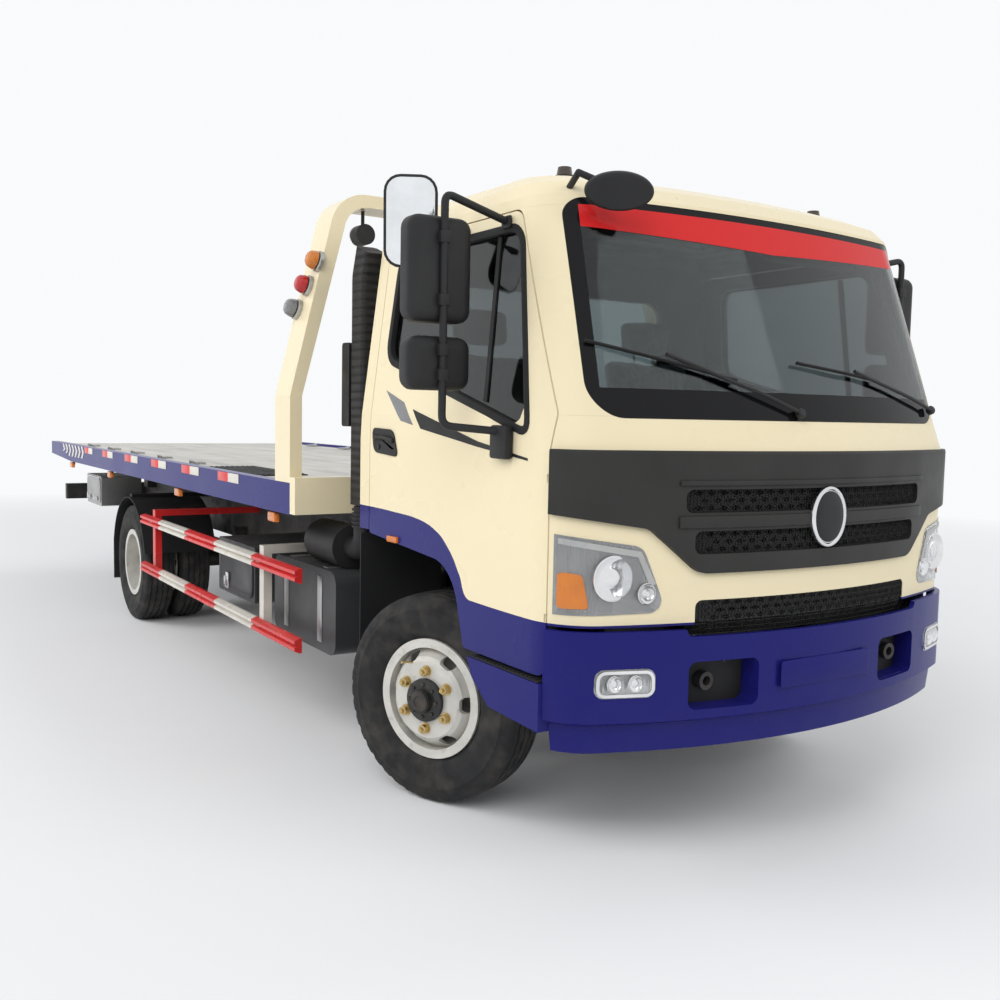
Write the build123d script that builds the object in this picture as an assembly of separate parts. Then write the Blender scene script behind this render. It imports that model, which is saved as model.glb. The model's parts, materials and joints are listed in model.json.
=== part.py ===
from build123d import *
import math
import os

# Flatbed tow truck. Sizes are in millimetres. Stations run forward (+X) from the front axle,
# +Y is the truck's left, and heights are above the ground. At the end every piece is shifted
# so that the origin is on the ground under the middle of the truck.

# Clearances
SEAT = 0.3            # between a piece and its seat
PIN_GAP = 0.05        # radial, between a pin and its bore
SHUT_GAP = 5          # round doors and other moving pieces

# Overall
WHEELBASE = 4050
NOSE = 1190           # bumper's foremost point
DECK_FRONT = -720
DECK_LENGTH = 5750
DECK_HALF = 1150
DECK_TOP = 1160       # top of the deck's floor
STEER_PARKED = 23     # degrees to the left, as the truck is parked

# Wheels and tyres
TYRE_RADIUS = 404
TYRE_WIDTH = 214
RIM_BARREL = 205      # barrel's outer radius
RIM_LIP_RADIUS = 231
RIM_INSIDE = 152      # between the lips
RIM_LIP = 12
RIM_WALL = 8
DISC_OFFSET = 105     # disc's mounting face from the rim's middle
DISC_WALL = 10
HAND_HOLES = 6
HUB_RADIUS = 82
DRUM_RADIUS = 168
FRONT_HALF_TRACK = 850
REAR_OUTER = 947      # outer rear rim's middle
DUAL_SPACING = 247
SPINDLE_RADIUS = 30
REAR_SPINDLE = 35

# Steering
KINGPIN_Y = 735
KINGPIN_RADIUS = 18
EYE_RADIUS = 34
EYE_BOTTOM = 352
EYE_TOP = 456
LUG = 30              # thickness of the knuckle's lugs
ARM_REACH = 165       # steering arm, back from the kingpin
BALL_RADIUS = 20
STUD_RADIUS = 10
TIE_ROD_RADIUS = 16
TIE_ROD_Z = 273

# Chassis
RAIL_OUT = 425        # outer face of the frame rails
RAIL_FLANGE = 65
RAIL_WALL = 8
RAIL_BOTTOM = 600
RAIL_TOP = 800
RAIL_FRONT = 950
RAIL_REAR = -6130
SUBFRAME_TOP = 895
SUBFRAME_FRONT = -760
AXLE_TUBE = 62
SPRING_WIDTH = 70
TOW_RADIUS = 16       # bore of the front towing sockets
TOW_DEPTH = 80
TOW_FRONT = 1095
TOW_Y = 460
TOW_Z = 648
TOW_BOSS = 30         # socket's outer radius

# Tilting frame and its cylinders
TILT_X = -5850
TILT_Z = 930
TILT_PIN = 22
BEAM_IN = 380
BEAM_OUT = 460
BEAM_BOTTOM = 900
BEAM_TOP = 1035
WEAR_STRIP = 4.7
TILT_FRONT = -800
CYL_Y = 230
CYL_FOOT_X = -3200
CYL_FOOT_Z = 660
CYL_HEAD_X = -1450
CYL_HEAD_Z = 920
CYL_RADIUS = 48
ROD_RADIUS = 28
CYL_EYE = 38
CYL_EYE_HALF = 28
CYL_PIN = 15
BARREL_START = 62     # from the foot pin, clear of the foot's ears
BARREL_LENGTH = 1350  # from the foot pin
ROD_INSIDE = 480      # rod's length inside the barrel at rest

# Deck
RAIL_BOX_BOTTOM = 1040
RAIL_BOX_TOP = 1180
RAIL_BOX_WIDTH = 60
TAIL_BOTTOM = 1075
TAIL_TAPER = 870
FLOOR_PLATE = 10
WINCH_FLOOR = 520     # length of the floor ahead of the load area
FRONT_BEAM = 60
FRONT_BEAM_TOP = 1206
JOIST_BOTTOM = 1090
GUIDE_BOTTOM = 995
HOOP_DEPTH = 178
HOOP_FRONT = DECK_FRONT - FRONT_BEAM - SEAT
HOOP_BAND = 55
HOOP_TOP = 2450
HOOP_KINK = 1557
HOOP_TOP_HALF = 930   # half width where the legs would meet the top
HOOP_CORNER = 170

# Cab
WALL = 45             # whole thickness of cab walls and doors
GLASS = 5
GLASS_INSET = 18      # door glass, in from the door's skin
CAB_REAR = -460
CAB_FLOOR_Z = 1012
FOOTWELL_Z = 690
FLOOR_PLATE_CAB = 25
TUNNEL_HALF = 455
CAB_FRONT_Z = 838     # lower edge of the front panel
SCREEN_BASE = 1497
DOOR_TOP = 2172
CAB_SPLIT = DOOR_TOP + SHUT_GAP   # roof panel's lower edge
DOOR_FRONT = 882
DOOR_REAR = -370
CAB_PIVOT_X = 1030
CAB_PIVOT_Z = 880
PIVOT_REACH = 26      # half width of the pivot ears and lugs
CAB_PIVOT_PIN = 16
PIVOT_Y = 395
HINGE_X = 872
HINGE_Y = 946.6
HINGE_PIN = 5
HINGE_ARM = 886       # inboard face of the hinge arms, behind the door
HINGE_HEIGHTS = (860, 1300)
DOOR_SWEEP = 880      # half width left free by the swinging doors

# Door window's corners. Columns: station, height, corner radius.
WINDOW = [(-270, 1712, 60), (-250, 2110, 60), (600, 2112, 60), (770, 1445, 60)]

# Mesh windows in the grille and the intake under it. Columns: half width, bottom, top.
MESHES = [(575, 1198, 1272), (540, 1066, 1140)]
INTAKE = (520, 846, 916)
GRILLE_HALF = 800
GRILLE_PROUD = 16

# Cab plan at several heights. Columns: height, back, half width, x of the corner's centre,
# corner radius, front on the middle line.
CAB_PLANS = [
    (FOOTWELL_Z - 60, CAB_REAR, 965, 810, 210, 1150),
    (1385, CAB_REAR, 965, 810, 210, 1150),
    (1485, CAB_REAR + 5, 962, 770, 215, 1085),
    (2215, CAB_REAR + 20, 875, 570, 200, 830),
]
# Roof crown above the last plan. Columns: rise, inset.
ROOF_CROWN = [(47, 22), (83, 62), (107, 125), (121, 220)]

# Bumper plan at several heights. Columns: height, inset.
BUMPER_PLANS = [(437, 34), (528, 24), (540, 0), (829, 0)]
BUMPER_HALF = 984
BUMPER_CORNER_X = 815
BUMPER_CORNER = 225
BUMPER_REAR = 895
BUMPER_WALL = 18


def block(x0, x1, y0, y1, z0, z1):
    """Box between two corners."""
    centre = ((x0 + x1) / 2, (y0 + y1) / 2, (z0 + z1) / 2)
    return Pos(*centre) * Box(abs(x1 - x0), abs(y1 - y0), abs(z1 - z0))


def bar(start, end, radius):
    """Round bar between two points."""
    along = Vector(*end) - Vector(*start)
    return extrude(Plane(origin=start, z_dir=along) * Circle(radius), along.length)


def shape(corners):
    """Flat shape from corners, each with its own rounding: (a, b, radius)."""
    path = FilletPolyline(*[(a, b) for a, b, r in corners], radius=[r for a, b, r in corners], close=True)
    return make_face(path)


def side_prism(outline, y0, y1):
    """Shape drawn in x and z, pushed from y0 to y1."""
    return extrude(Plane((0, y1, 0), (1, 0, 0), (0, -1, 0)) * outline, y1 - y0)


def front_prism(outline, x0, x1):
    """Shape drawn in y and z, pushed from x0 to x1."""
    return extrude(Plane((x0, 0, 0), (0, 1, 0), (1, 0, 0)) * outline, x1 - x0)


def other_side(piece):
    """Mirror image on the truck's other side."""
    return mirror(piece, about=Plane.XZ)


def both(piece):
    """A piece and its mirror image, as separate solids."""
    return Compound(piece.solids() + other_side(piece).solids())


def plan(z, back, half, corner_x, corner_r, front):
    """Straight back and sides, round front corners and a bowed front, all tangent."""
    inner = half - corner_r
    drop = corner_x - front
    bow = (corner_r**2 - drop**2 - inner**2) / (2 * (drop + corner_r))
    centre = Vector(front - bow, 0)
    meet = centre + (Vector(corner_x, inner) - centre).normalized() * bow
    turn = (90 + math.degrees(math.atan2(meet.Y - inner, meet.X - corner_x))) / 2
    mid_x = corner_x + corner_r * math.cos(math.radians(turn))
    mid_y = inner + corner_r * math.sin(math.radians(turn))
    with BuildSketch(Plane.XY.offset(z)) as section:
        with BuildLine():
            Polyline((corner_x, half), (back, half), (back, -half), (corner_x, -half))
            ThreePointArc((corner_x, -half), (mid_x, -mid_y), (meet.X, -meet.Y))
            ThreePointArc((meet.X, -meet.Y), (front, 0), (meet.X, meet.Y))
            ThreePointArc((meet.X, meet.Y), (mid_x, mid_y), (corner_x, half))
        make_face()
    return section.sketch


def cab_body(inset):
    """Whole cab as a solid, inset from its outer skin."""
    sections = []
    for z, back, half, corner_x, corner_r, front in CAB_PLANS:
        sections.append(plan(z, back + inset, half - inset, corner_x, corner_r - inset, front - inset))
    z, back, half, corner_x, corner_r, front = CAB_PLANS[-1]
    top = ROOF_CROWN[-1][0]
    for rise, step in ROOF_CROWN:
        radius = max(corner_r - 0.7 * step - inset, 20)
        level = z + rise * (top - inset) / top
        near = back + step + inset
        sections.append(
            plan(level, near, half - step - inset, corner_x - 1.5 * step, radius, front - 2.1 * step - inset)
        )
    return loft(sections, ruled=True)


def bumper_body(inset):
    """Bumper as a solid back to its rear end, inset from its outer skin."""
    sections = []
    for z, step in BUMPER_PLANS:
        depth = inset + step
        sections.append(
            plan(z, BUMPER_REAR - 200, BUMPER_HALF - depth, BUMPER_CORNER_X, BUMPER_CORNER - depth, NOSE - depth)
        )
    return loft(sections, ruled=True)


def at_kingpin(piece, side):
    """Turns a piece about its kingpin to the parked steering angle."""
    pin = (0, side * KINGPIN_Y, 0)
    return Pos(*pin) * Rot(0, 0, STEER_PARKED) * Pos(0, -side * KINGPIN_Y, 0) * piece


# Wheels, made for the left side with the outboard face towards +Y

def tyre_ring():
    """Tyre about Y, centred on its rim."""
    bead = RIM_BARREL + SEAT
    foot = RIM_INSIDE / 2 - SEAT
    half = TYRE_WIDTH / 2
    shoulder = TYRE_RADIUS - 20
    edge = half - 13
    crown = TYRE_RADIUS - 5
    crown_y = half - 30
    with BuildSketch() as profile:
        with BuildLine():
            Line((bead, -foot), (bead, foot))
            Line((bead, foot), (RIM_LIP_RADIUS + 4, foot))
            ThreePointArc((RIM_LIP_RADIUS + 4, foot), ((bead + shoulder) / 2 + 20, half), (shoulder, edge))
            ThreePointArc((shoulder, edge), (shoulder + 12, edge - 6), (crown, crown_y))
            ThreePointArc((crown, crown_y), (TYRE_RADIUS, 0), (crown, -crown_y))
            ThreePointArc((crown, -crown_y), (shoulder + 12, 6 - edge), (shoulder, -edge))
            ThreePointArc((shoulder, -edge), ((bead + shoulder) / 2 + 20, -half), (RIM_LIP_RADIUS + 4, -foot))
            Line((RIM_LIP_RADIUS + 4, -foot), (bead, -foot))
        make_face()
    return revolve(profile.sketch, Axis.Y)


def turned(points):
    """Ring or disc about Y from its profile in radius and y."""
    return revolve(Polygon(*points, align=None), Axis.Y)


def rim(disc):
    """Steel rim with its dished disc; disc is +1 with the disc outboard, -1 inboard."""
    inside = RIM_BARREL - RIM_WALL
    half = RIM_INSIDE / 2
    edge = half + RIM_LIP
    barrel = turned([
        (inside, -edge), (RIM_LIP_RADIUS, -edge), (RIM_LIP_RADIUS, -half), (RIM_BARREL, -half),
        (RIM_BARREL, half), (RIM_LIP_RADIUS, half), (RIM_LIP_RADIUS, edge), (inside, edge),
    ])
    face = DISC_OFFSET * disc
    back = face - DISC_WALL * disc
    root = 30 * disc
    dish = turned([
        (HUB_RADIUS - 1, face), (148, face), (164, face - 12 * disc), (inside + 2, root + 7 * disc),
        (inside + 2, root - 7 * disc), (153, back - 10 * disc), (142, back), (HUB_RADIUS - 1, back),
    ])
    hole = Plane.XZ * SlotOverall(62, 34)
    for number in range(HAND_HOLES):
        angle = (number + 0.5) * 360 / HAND_HOLES
        cutter = extrude(Rot(0, angle, 0) * (Pos(0, 0, 171) * hole), 2 * DISC_OFFSET, both=True)
        dish -= cutter
    return barrel + dish


def front_wheel():
    """Front rim with its hub and brake drum."""
    cap = DISC_OFFSET + 40
    hub = turned([
        (SPINDLE_RADIUS + PIN_GAP, -45), (HUB_RADIUS, -45), (HUB_RADIUS, DISC_OFFSET + 16),
        (HUB_RADIUS - 22, DISC_OFFSET + 22), (46, DISC_OFFSET + 22), (44, cap), (0, cap),
        (0, 62), (SPINDLE_RADIUS + PIN_GAP, 62),
    ])
    drum = turned([
        (SPINDLE_RADIUS + 20, -20), (DRUM_RADIUS, -20), (DRUM_RADIUS, -44), (DRUM_RADIUS - 12, -44),
        (DRUM_RADIUS - 12, -34), (SPINDLE_RADIUS + 20, -34),
    ])
    return rim(1) + hub + drum


def rear_wheel():
    """Twin rims on one hub and drum, centred between the two rims."""
    spread = DUAL_SPACING / 2
    flange = spread - DISC_OFFSET
    inner_end = -230
    hub = turned([
        (REAR_SPINDLE + PIN_GAP, inner_end), (HUB_RADIUS, inner_end), (HUB_RADIUS, -flange),
        (148, -flange), (148, flange), (HUB_RADIUS, flange), (HUB_RADIUS, 64), (60, 70), (0, 70),
        (0, 38), (REAR_SPINDLE + PIN_GAP, 38),
    ])
    drum = turned([
        (HUB_RADIUS - 10, -75), (DRUM_RADIUS, -75), (DRUM_RADIUS, -205), (DRUM_RADIUS - 12, -205),
        (DRUM_RADIUS - 12, -87), (HUB_RADIUS - 10, -87),
    ])
    return Pos(0, spread, 0) * rim(-1) + Pos(0, -spread, 0) * rim(1) + hub + drum


def knuckle():
    """Left knuckle: kingpin, two lugs, spindle and steering arm."""
    wall_in = KINGPIN_Y + EYE_RADIUS + SHUT_GAP
    wall_out = wall_in + 16
    top = EYE_TOP + SHUT_GAP
    bottom = EYE_BOTTOM - SHUT_GAP
    centre_z = TYRE_RADIUS
    pieces = block(-EYE_RADIUS, EYE_RADIUS, wall_in, wall_out, bottom - LUG, top + LUG)
    for z0, z1 in ((top, top + LUG), (bottom - LUG, bottom)):
        pieces += block(-EYE_RADIUS, EYE_RADIUS, KINGPIN_Y, wall_out, z0, z1)
        pieces += bar((0, KINGPIN_Y, z0), (0, KINGPIN_Y, z1), EYE_RADIUS)
    pieces += bar((0, KINGPIN_Y, bottom - LUG), (0, KINGPIN_Y, top + LUG), KINGPIN_RADIUS)
    pieces += bar((0, wall_in, centre_z), (0, FRONT_HALF_TRACK + 58, centre_z), SPINDLE_RADIUS)
    arm_z = bottom - LUG
    pieces += block(-ARM_REACH, -EYE_RADIUS + 10, KINGPIN_Y - 16, KINGPIN_Y + 16, arm_z, arm_z + 24)
    pieces += bar((-ARM_REACH, KINGPIN_Y, arm_z), (-ARM_REACH, KINGPIN_Y, arm_z + 24), BALL_RADIUS)
    pieces += bar((-ARM_REACH, KINGPIN_Y, TIE_ROD_Z - 17), (-ARM_REACH, KINGPIN_Y, arm_z + 5), STUD_RADIUS)
    return pieces


def tie_rod():
    """Track rod between the two steering arms, moved over with the parked steering."""
    rod = bar((-ARM_REACH, -KINGPIN_Y, TIE_ROD_Z), (-ARM_REACH, KINGPIN_Y, TIE_ROD_Z), TIE_ROD_RADIUS)
    for side in (1, -1):
        y = side * KINGPIN_Y
        rod += bar((-ARM_REACH, y, TIE_ROD_Z - 17), (-ARM_REACH, y, TIE_ROD_Z + 17), BALL_RADIUS)
        rod -= bar((-ARM_REACH, y, 0), (-ARM_REACH, y, RAIL_BOTTOM), STUD_RADIUS + PIN_GAP)
    turn = math.radians(STEER_PARKED)
    return Pos(ARM_REACH * (1 - math.cos(turn)), -ARM_REACH * math.sin(turn), 0) * rod


# Axles, springs and driveline

def front_axle():
    """Dropped beam with a kingpin eye at each end."""
    low, high = 300, 375
    half = [
        (KINGPIN_Y, EYE_BOTTOM + 6), (KINGPIN_Y, EYE_TOP - 6), (600, 440), (480, high),
    ]
    under = [(500, low), (620, 345)]
    points = half + [(-y, z) for y, z in reversed(half)] + [(-y, z) for y, z in under] + list(reversed(under))
    beam = front_prism(Polygon(*points, align=None), -30, 30)
    for side in (1, -1):
        y = side * KINGPIN_Y
        beam += bar((0, y, EYE_BOTTOM), (0, y, EYE_TOP), EYE_RADIUS)
        beam -= bar((0, y, 0), (0, y, RAIL_BOTTOM), KINGPIN_RADIUS + PIN_GAP)
    return beam


def rear_axle():
    """Axle tube with the final drive's round housing and the wheel spindles."""
    x, z = -WHEELBASE, TYRE_RADIUS
    middle = REAR_OUTER - DUAL_SPACING / 2
    tube_end = middle - 230 - SHUT_GAP
    axle = bar((x, -tube_end, z), (x, tube_end, z), AXLE_TUBE)
    axle += bar((x, -middle - 36, z), (x, middle + 36, z), REAR_SPINDLE)
    axle += Pos(x, 0, z) * Sphere(165)
    axle += bar((x, 0, z), (x + 290, 0, z + 12), 70)
    return axle


def leaf_spring(x, y0, y1, seat, thick, reach, rise):
    """Curved leaf pack on an axle, with its two hangers up to the frame."""
    eye = seat + rise
    with BuildSketch() as profile:
        with BuildLine():
            ThreePointArc((x - reach, eye), (x, seat), (x + reach, eye))
            Line((x + reach, eye), (x + reach, eye + 22))
            ThreePointArc((x + reach, eye + 22), (x, seat + thick), (x - reach, eye + 22))
            Line((x - reach, eye + 22), (x - reach, eye))
        make_face()
    return side_prism(profile.sketch, y0, y1)


def leaf_springs():
    """Four leaf packs: the front ones under the rails, the rear ones beside them."""
    front_y0 = RAIL_OUT - RAIL_FLANGE
    front = leaf_spring(0, front_y0, front_y0 + SPRING_WIDTH, 375 + SEAT, 62, 560, 120)
    for x in (-550, 550):
        front += block(x - 20, x + 20, front_y0, RAIL_OUT, 500, RAIL_BOTTOM - SEAT)
    rear_y0 = RAIL_OUT + 20
    rear = leaf_spring(-WHEELBASE, rear_y0, rear_y0 + SPRING_WIDTH, TYRE_RADIUS + AXLE_TUBE + SEAT, 90, 620, 130)
    for x in (-WHEELBASE - 610, -WHEELBASE + 610):
        rear += block(x - 22, x + 22, RAIL_OUT + SEAT, rear_y0 + SPRING_WIDTH, 590, 690)
    return Compound(both(front).solids() + both(rear).solids())


def driveline():
    """Engine and gearbox as one block, with the propeller shaft to the rear axle."""
    engine = side_prism(shape([(-640, 470, 40), (260, 450, 40), (260, 960, 60), (-640, 985, 40)]), -280, 280)
    engine += side_prism(shape([(-1250, 520, 30), (-600, 480, 10), (-600, 830, 10), (-1250, 760, 30)]), -170, 170)
    for y0, y1 in ((270, RAIL_OUT - RAIL_WALL - SEAT), (-RAIL_OUT + RAIL_WALL + SEAT, -270)):
        engine += block(-160, -60, y0, y1, 640, 700)
    nose = -WHEELBASE + 290 + SHUT_GAP
    engine += bar((-1240, 0, 640), (nose, 0, TYRE_RADIUS + 12), 38)
    return engine


# Frame

def chassis_frame():
    """Two channel rails with cross members, cab pivots and the rear beam."""
    inner = RAIL_OUT - RAIL_FLANGE
    channel = Polygon(
        (inner, RAIL_BOTTOM), (RAIL_OUT, RAIL_BOTTOM), (RAIL_OUT, RAIL_TOP), (inner, RAIL_TOP),
        (inner, RAIL_TOP - RAIL_WALL), (RAIL_OUT - RAIL_WALL, RAIL_TOP - RAIL_WALL),
        (RAIL_OUT - RAIL_WALL, RAIL_BOTTOM + RAIL_WALL), (inner, RAIL_BOTTOM + RAIL_WALL), align=None,
    )
    rail = front_prism(channel, RAIL_REAR, RAIL_FRONT)
    bracket = block(RAIL_FRONT - 20, NOSE, RAIL_OUT - RAIL_WALL, RAIL_OUT, 715, 762)
    rail += bracket & bumper_body(BUMPER_WALL + SEAT)
    for y0, y1 in ((RAIL_OUT - RAIL_FLANGE, PIVOT_Y - 17 - SEAT), (PIVOT_Y + 17 + SEAT, RAIL_OUT)):
        rail += side_prism(
            shape([(RAIL_FRONT - 40, RAIL_TOP - 60, 0), (CAB_PIVOT_X + PIVOT_REACH, CAB_PIVOT_Z - PIVOT_REACH, 20),
                   (CAB_PIVOT_X + PIVOT_REACH, CAB_PIVOT_Z + PIVOT_REACH, 20),
                   (RAIL_FRONT - 40, CAB_PIVOT_Z + PIVOT_REACH, 10)]),
            y0, y1,
        )
    rail += bar((CAB_PIVOT_X, inner, CAB_PIVOT_Z), (CAB_PIVOT_X, RAIL_OUT, CAB_PIVOT_Z), CAB_PIVOT_PIN)
    rail += block(-450, -400, inner, RAIL_OUT, RAIL_TOP - 10, CAB_FLOOR_Z - SEAT)
    frame = rail + other_side(rail)
    # Cross members. Columns: station, bottom, top.
    for x, z0, z1 in ((700, 620, 700), (-1340, 690, 790), (-2600, 606, 668), (CYL_FOOT_X - 90, 606, 790),
                      (-4650, 690, 790), (-5500, 690, 790)):
        frame += block(x - 35, x + 35, -RAIL_OUT + 4, RAIL_OUT - 4, z0, z1)
    for side in (1, -1):
        for offset in (CYL_EYE_HALF + SHUT_GAP, -CYL_EYE_HALF - SHUT_GAP - 14):
            y0 = side * CYL_Y + offset
            frame += side_prism(
                shape([(CYL_FOOT_X - 90, CYL_FOOT_Z - 45, 0), (CYL_FOOT_X + 40, CYL_FOOT_Z - 45, 38),
                       (CYL_FOOT_X + 40, CYL_FOOT_Z + 45, 38), (CYL_FOOT_X - 90, CYL_FOOT_Z + 45, 0)]),
                y0, y0 + 14,
            )
        y0 = side * CYL_Y - CYL_EYE_HALF - SHUT_GAP - 20
        y1 = side * CYL_Y + CYL_EYE_HALF + SHUT_GAP + 20
        frame += bar((CYL_FOOT_X, y0, CYL_FOOT_Z), (CYL_FOOT_X, y1, CYL_FOOT_Z), CYL_PIN)
    frame += block(RAIL_REAR - 70, RAIL_REAR, -1090, 1090, 690, 820)
    return frame


def tow_sockets():
    """Front towing sockets on the outer faces of the rails, behind the bumper's recesses."""
    back = RAIL_FRONT - 70
    socket = block(back, RAIL_FRONT, RAIL_OUT + SEAT, TOW_Y, TOW_Z - 28, TOW_Z + 28)
    socket += bar((back, TOW_Y, TOW_Z), (TOW_FRONT, TOW_Y, TOW_Z), TOW_BOSS)
    socket -= bar((TOW_FRONT - TOW_DEPTH, TOW_Y, TOW_Z), (TOW_FRONT + 10, TOW_Y, TOW_Z), TOW_RADIUS)
    return both(socket)


def subframe():
    """Rails on top of the chassis, with the ears and pins that the deck tilts on."""
    inner = RAIL_OUT - RAIL_FLANGE
    base = RAIL_TOP + SEAT
    ear_end = TILT_X - 45
    rail = block(TILT_X + 75, SUBFRAME_FRONT, inner, RAIL_OUT, base, SUBFRAME_TOP)
    rail += block(ear_end, TILT_X + 80, BEAM_IN - 36, BEAM_OUT + 36, base, BEAM_BOTTOM - 30)
    for y0, y1 in ((BEAM_IN - 36, BEAM_IN - SHUT_GAP), (BEAM_OUT + SHUT_GAP, BEAM_OUT + 36)):
        rail += side_prism(
            shape([(TILT_X - 45, base, 0), (TILT_X + 45, base, 0), (TILT_X + 40, TILT_Z + 34, 30),
                   (TILT_X - 40, TILT_Z + 34, 30)]), y0, y1,
        )
    rail += bar((TILT_X, BEAM_IN - 36, TILT_Z), (TILT_X, BEAM_OUT + 36, TILT_Z), TILT_PIN)
    return both(rail)


def tilt_frame():
    """Beams that carry the sliding deck, with cross members and the cylinders' ears."""
    end = TILT_X - 50
    frame = Part()
    for side in (1, -1):
        beam = side_prism(
            shape([(end, BEAM_BOTTOM, 30), (TILT_FRONT, BEAM_BOTTOM, 40), (TILT_FRONT, BEAM_TOP, 0),
                   (end, BEAM_TOP, 0)]), BEAM_IN, BEAM_OUT,
        )
        beam += block(end, TILT_FRONT, BEAM_IN + 8, BEAM_OUT - 8, BEAM_TOP, BEAM_TOP + WEAR_STRIP)
        beam -= bar((TILT_X, 0, TILT_Z), (TILT_X, BEAM_OUT + 60, TILT_Z), TILT_PIN + PIN_GAP)
        frame += beam if side > 0 else other_side(beam)
    for x in (TILT_FRONT - 80, CYL_HEAD_X + 150, -2700, -3900, -4900, TILT_X + 180):
        frame += block(x - 35, x + 35, -BEAM_IN - 4, BEAM_IN + 4, BEAM_BOTTOM + 15, BEAM_TOP - 12)
    for side in (1, -1):
        for offset in (CYL_EYE_HALF + SHUT_GAP, -CYL_EYE_HALF - SHUT_GAP - 14):
            y0 = side * CYL_Y + offset
            frame += side_prism(
                shape([(CYL_HEAD_X + 150, CYL_HEAD_Z - 40, 0), (CYL_HEAD_X + 150, BEAM_TOP - 20, 0),
                       (CYL_HEAD_X - 45, CYL_HEAD_Z + 50, 40), (CYL_HEAD_X - 45, CYL_HEAD_Z - 42, 38)]),
                y0, y0 + 14,
            )
    return frame


def cylinder_axis():
    """Unit vector from a lifting cylinder's foot to its head."""
    return Vector(CYL_HEAD_X - CYL_FOOT_X, 0, CYL_HEAD_Z - CYL_FOOT_Z).normalized()


def tilt_barrels():
    """Barrels of the two lifting cylinders, each with its foot eye."""
    unit = cylinder_axis()
    foot = Vector(CYL_FOOT_X, CYL_Y, CYL_FOOT_Z)
    barrel = bar(foot + unit * BARREL_START, foot + unit * BARREL_LENGTH, CYL_RADIUS)
    barrel += bar(foot + unit * (BARREL_LENGTH - 60), foot + unit * BARREL_LENGTH, CYL_RADIUS + 6)
    barrel -= bar(foot + unit * (BARREL_LENGTH - ROD_INSIDE - 40), foot + unit * (BARREL_LENGTH + 10),
                  ROD_RADIUS + PIN_GAP)
    reach = Vector(0, CYL_EYE_HALF, 0)
    barrel += bar(foot, foot + unit * (BARREL_START + 10), CYL_EYE_HALF)
    barrel += bar(foot - reach, foot + reach, CYL_EYE)
    barrel -= bar(foot - reach * 3, foot + reach * 3, CYL_PIN + PIN_GAP)
    return both(barrel)


def tilt_rods():
    """Rods of the two lifting cylinders, each with its head eye."""
    unit = cylinder_axis()
    foot = Vector(CYL_FOOT_X, CYL_Y, CYL_FOOT_Z)
    head = Vector(CYL_HEAD_X, CYL_Y, CYL_HEAD_Z)
    reach = Vector(0, CYL_EYE_HALF, 0)
    rod = bar(foot + unit * (BARREL_LENGTH - ROD_INSIDE), head, ROD_RADIUS)
    rod += bar(head - reach, head + reach, CYL_EYE)
    rod -= bar(head - reach * 3, head + reach * 3, CYL_PIN + PIN_GAP)
    return both(rod)


# Pieces hung on the frame

def frame_boxes():
    """Fuel tank and tool box on the right, battery box on the left."""
    reach = RAIL_OUT + SEAT
    tank = side_prism(shape([(-1330, 430, 60), (-600, 430, 60), (-600, RAIL_TOP, 60), (-1330, RAIL_TOP, 60)]),
                      -1010, -reach - 40)
    tank += block(-1200, -1140, -reach - 60, -reach, 640, 760) + block(-800, -740, -reach - 60, -reach, 640, 760)
    tools = side_prism(shape([(-2350, 470, 20), (-1750, 470, 20), (-1750, 770, 20), (-2350, 770, 20)]),
                       -960, -reach)
    batteries = side_prism(shape([(-1500, 500, 20), (-900, 500, 20), (-900, 770, 20), (-1500, 770, 20)]),
                           reach, 900)
    return Compound(tank.solids() + tools.solids() + batteries.solids())


def exhaust():
    """Muffler and tail pipe on the left of the frame."""
    y = RAIL_OUT + 190
    muffler = bar((-2450, y, 640), (-1800, y, 640), 105)
    muffler += bar((-2900, y, 640), (-2440, y, 640), 38)
    muffler += bar((-1810, y, 640), (-1600, y, 640), 38)
    for x in (-2300, -1950):
        muffler += block(x - 20, x + 20, RAIL_OUT + SEAT, y - 60, 620, 660)
    return muffler


def air_cleaner():
    """Filter canister on the tank with its bellows up to the intake duct."""
    radius, y = 98, -895
    z = RAIL_TOP + SEAT + radius
    can = bar((-1000, y, z), (-680, y, z), radius)
    path = FilletPolyline((-690, y, z), (-560, y, z), (-560, y, 1090), radius=75)
    pipe = sweep(Plane((-690, y, z), z_dir=(1, 0, 0)) * Circle(48), path=path)
    for level in range(5):
        pipe += bar((-560, y, 1000 + 18 * level), (-560, y, 1008 + 18 * level), 56)
    return can + pipe


def side_guards():
    """Two ribbed rails a side on posts that reach out from the frame."""
    rib = [(0, 0), (12, 0), (35, 10), (35, 25), (18, 33), (35, 41), (35, 56), (12, 66), (0, 66)]
    guard = Part()
    for z in (741, 432):
        guard += front_prism(Polygon(*[(1105 + y, z + up) for y, up in rib], align=None), -3410, -744)
    for x in (-1250, -3200):
        guard += block(x - 28, x + 28, 1065, 1106, 432, 850)
        guard += block(x - 28, x + 28, RAIL_OUT + SEAT, 1106, 812, 850)
    return both(guard)


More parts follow.
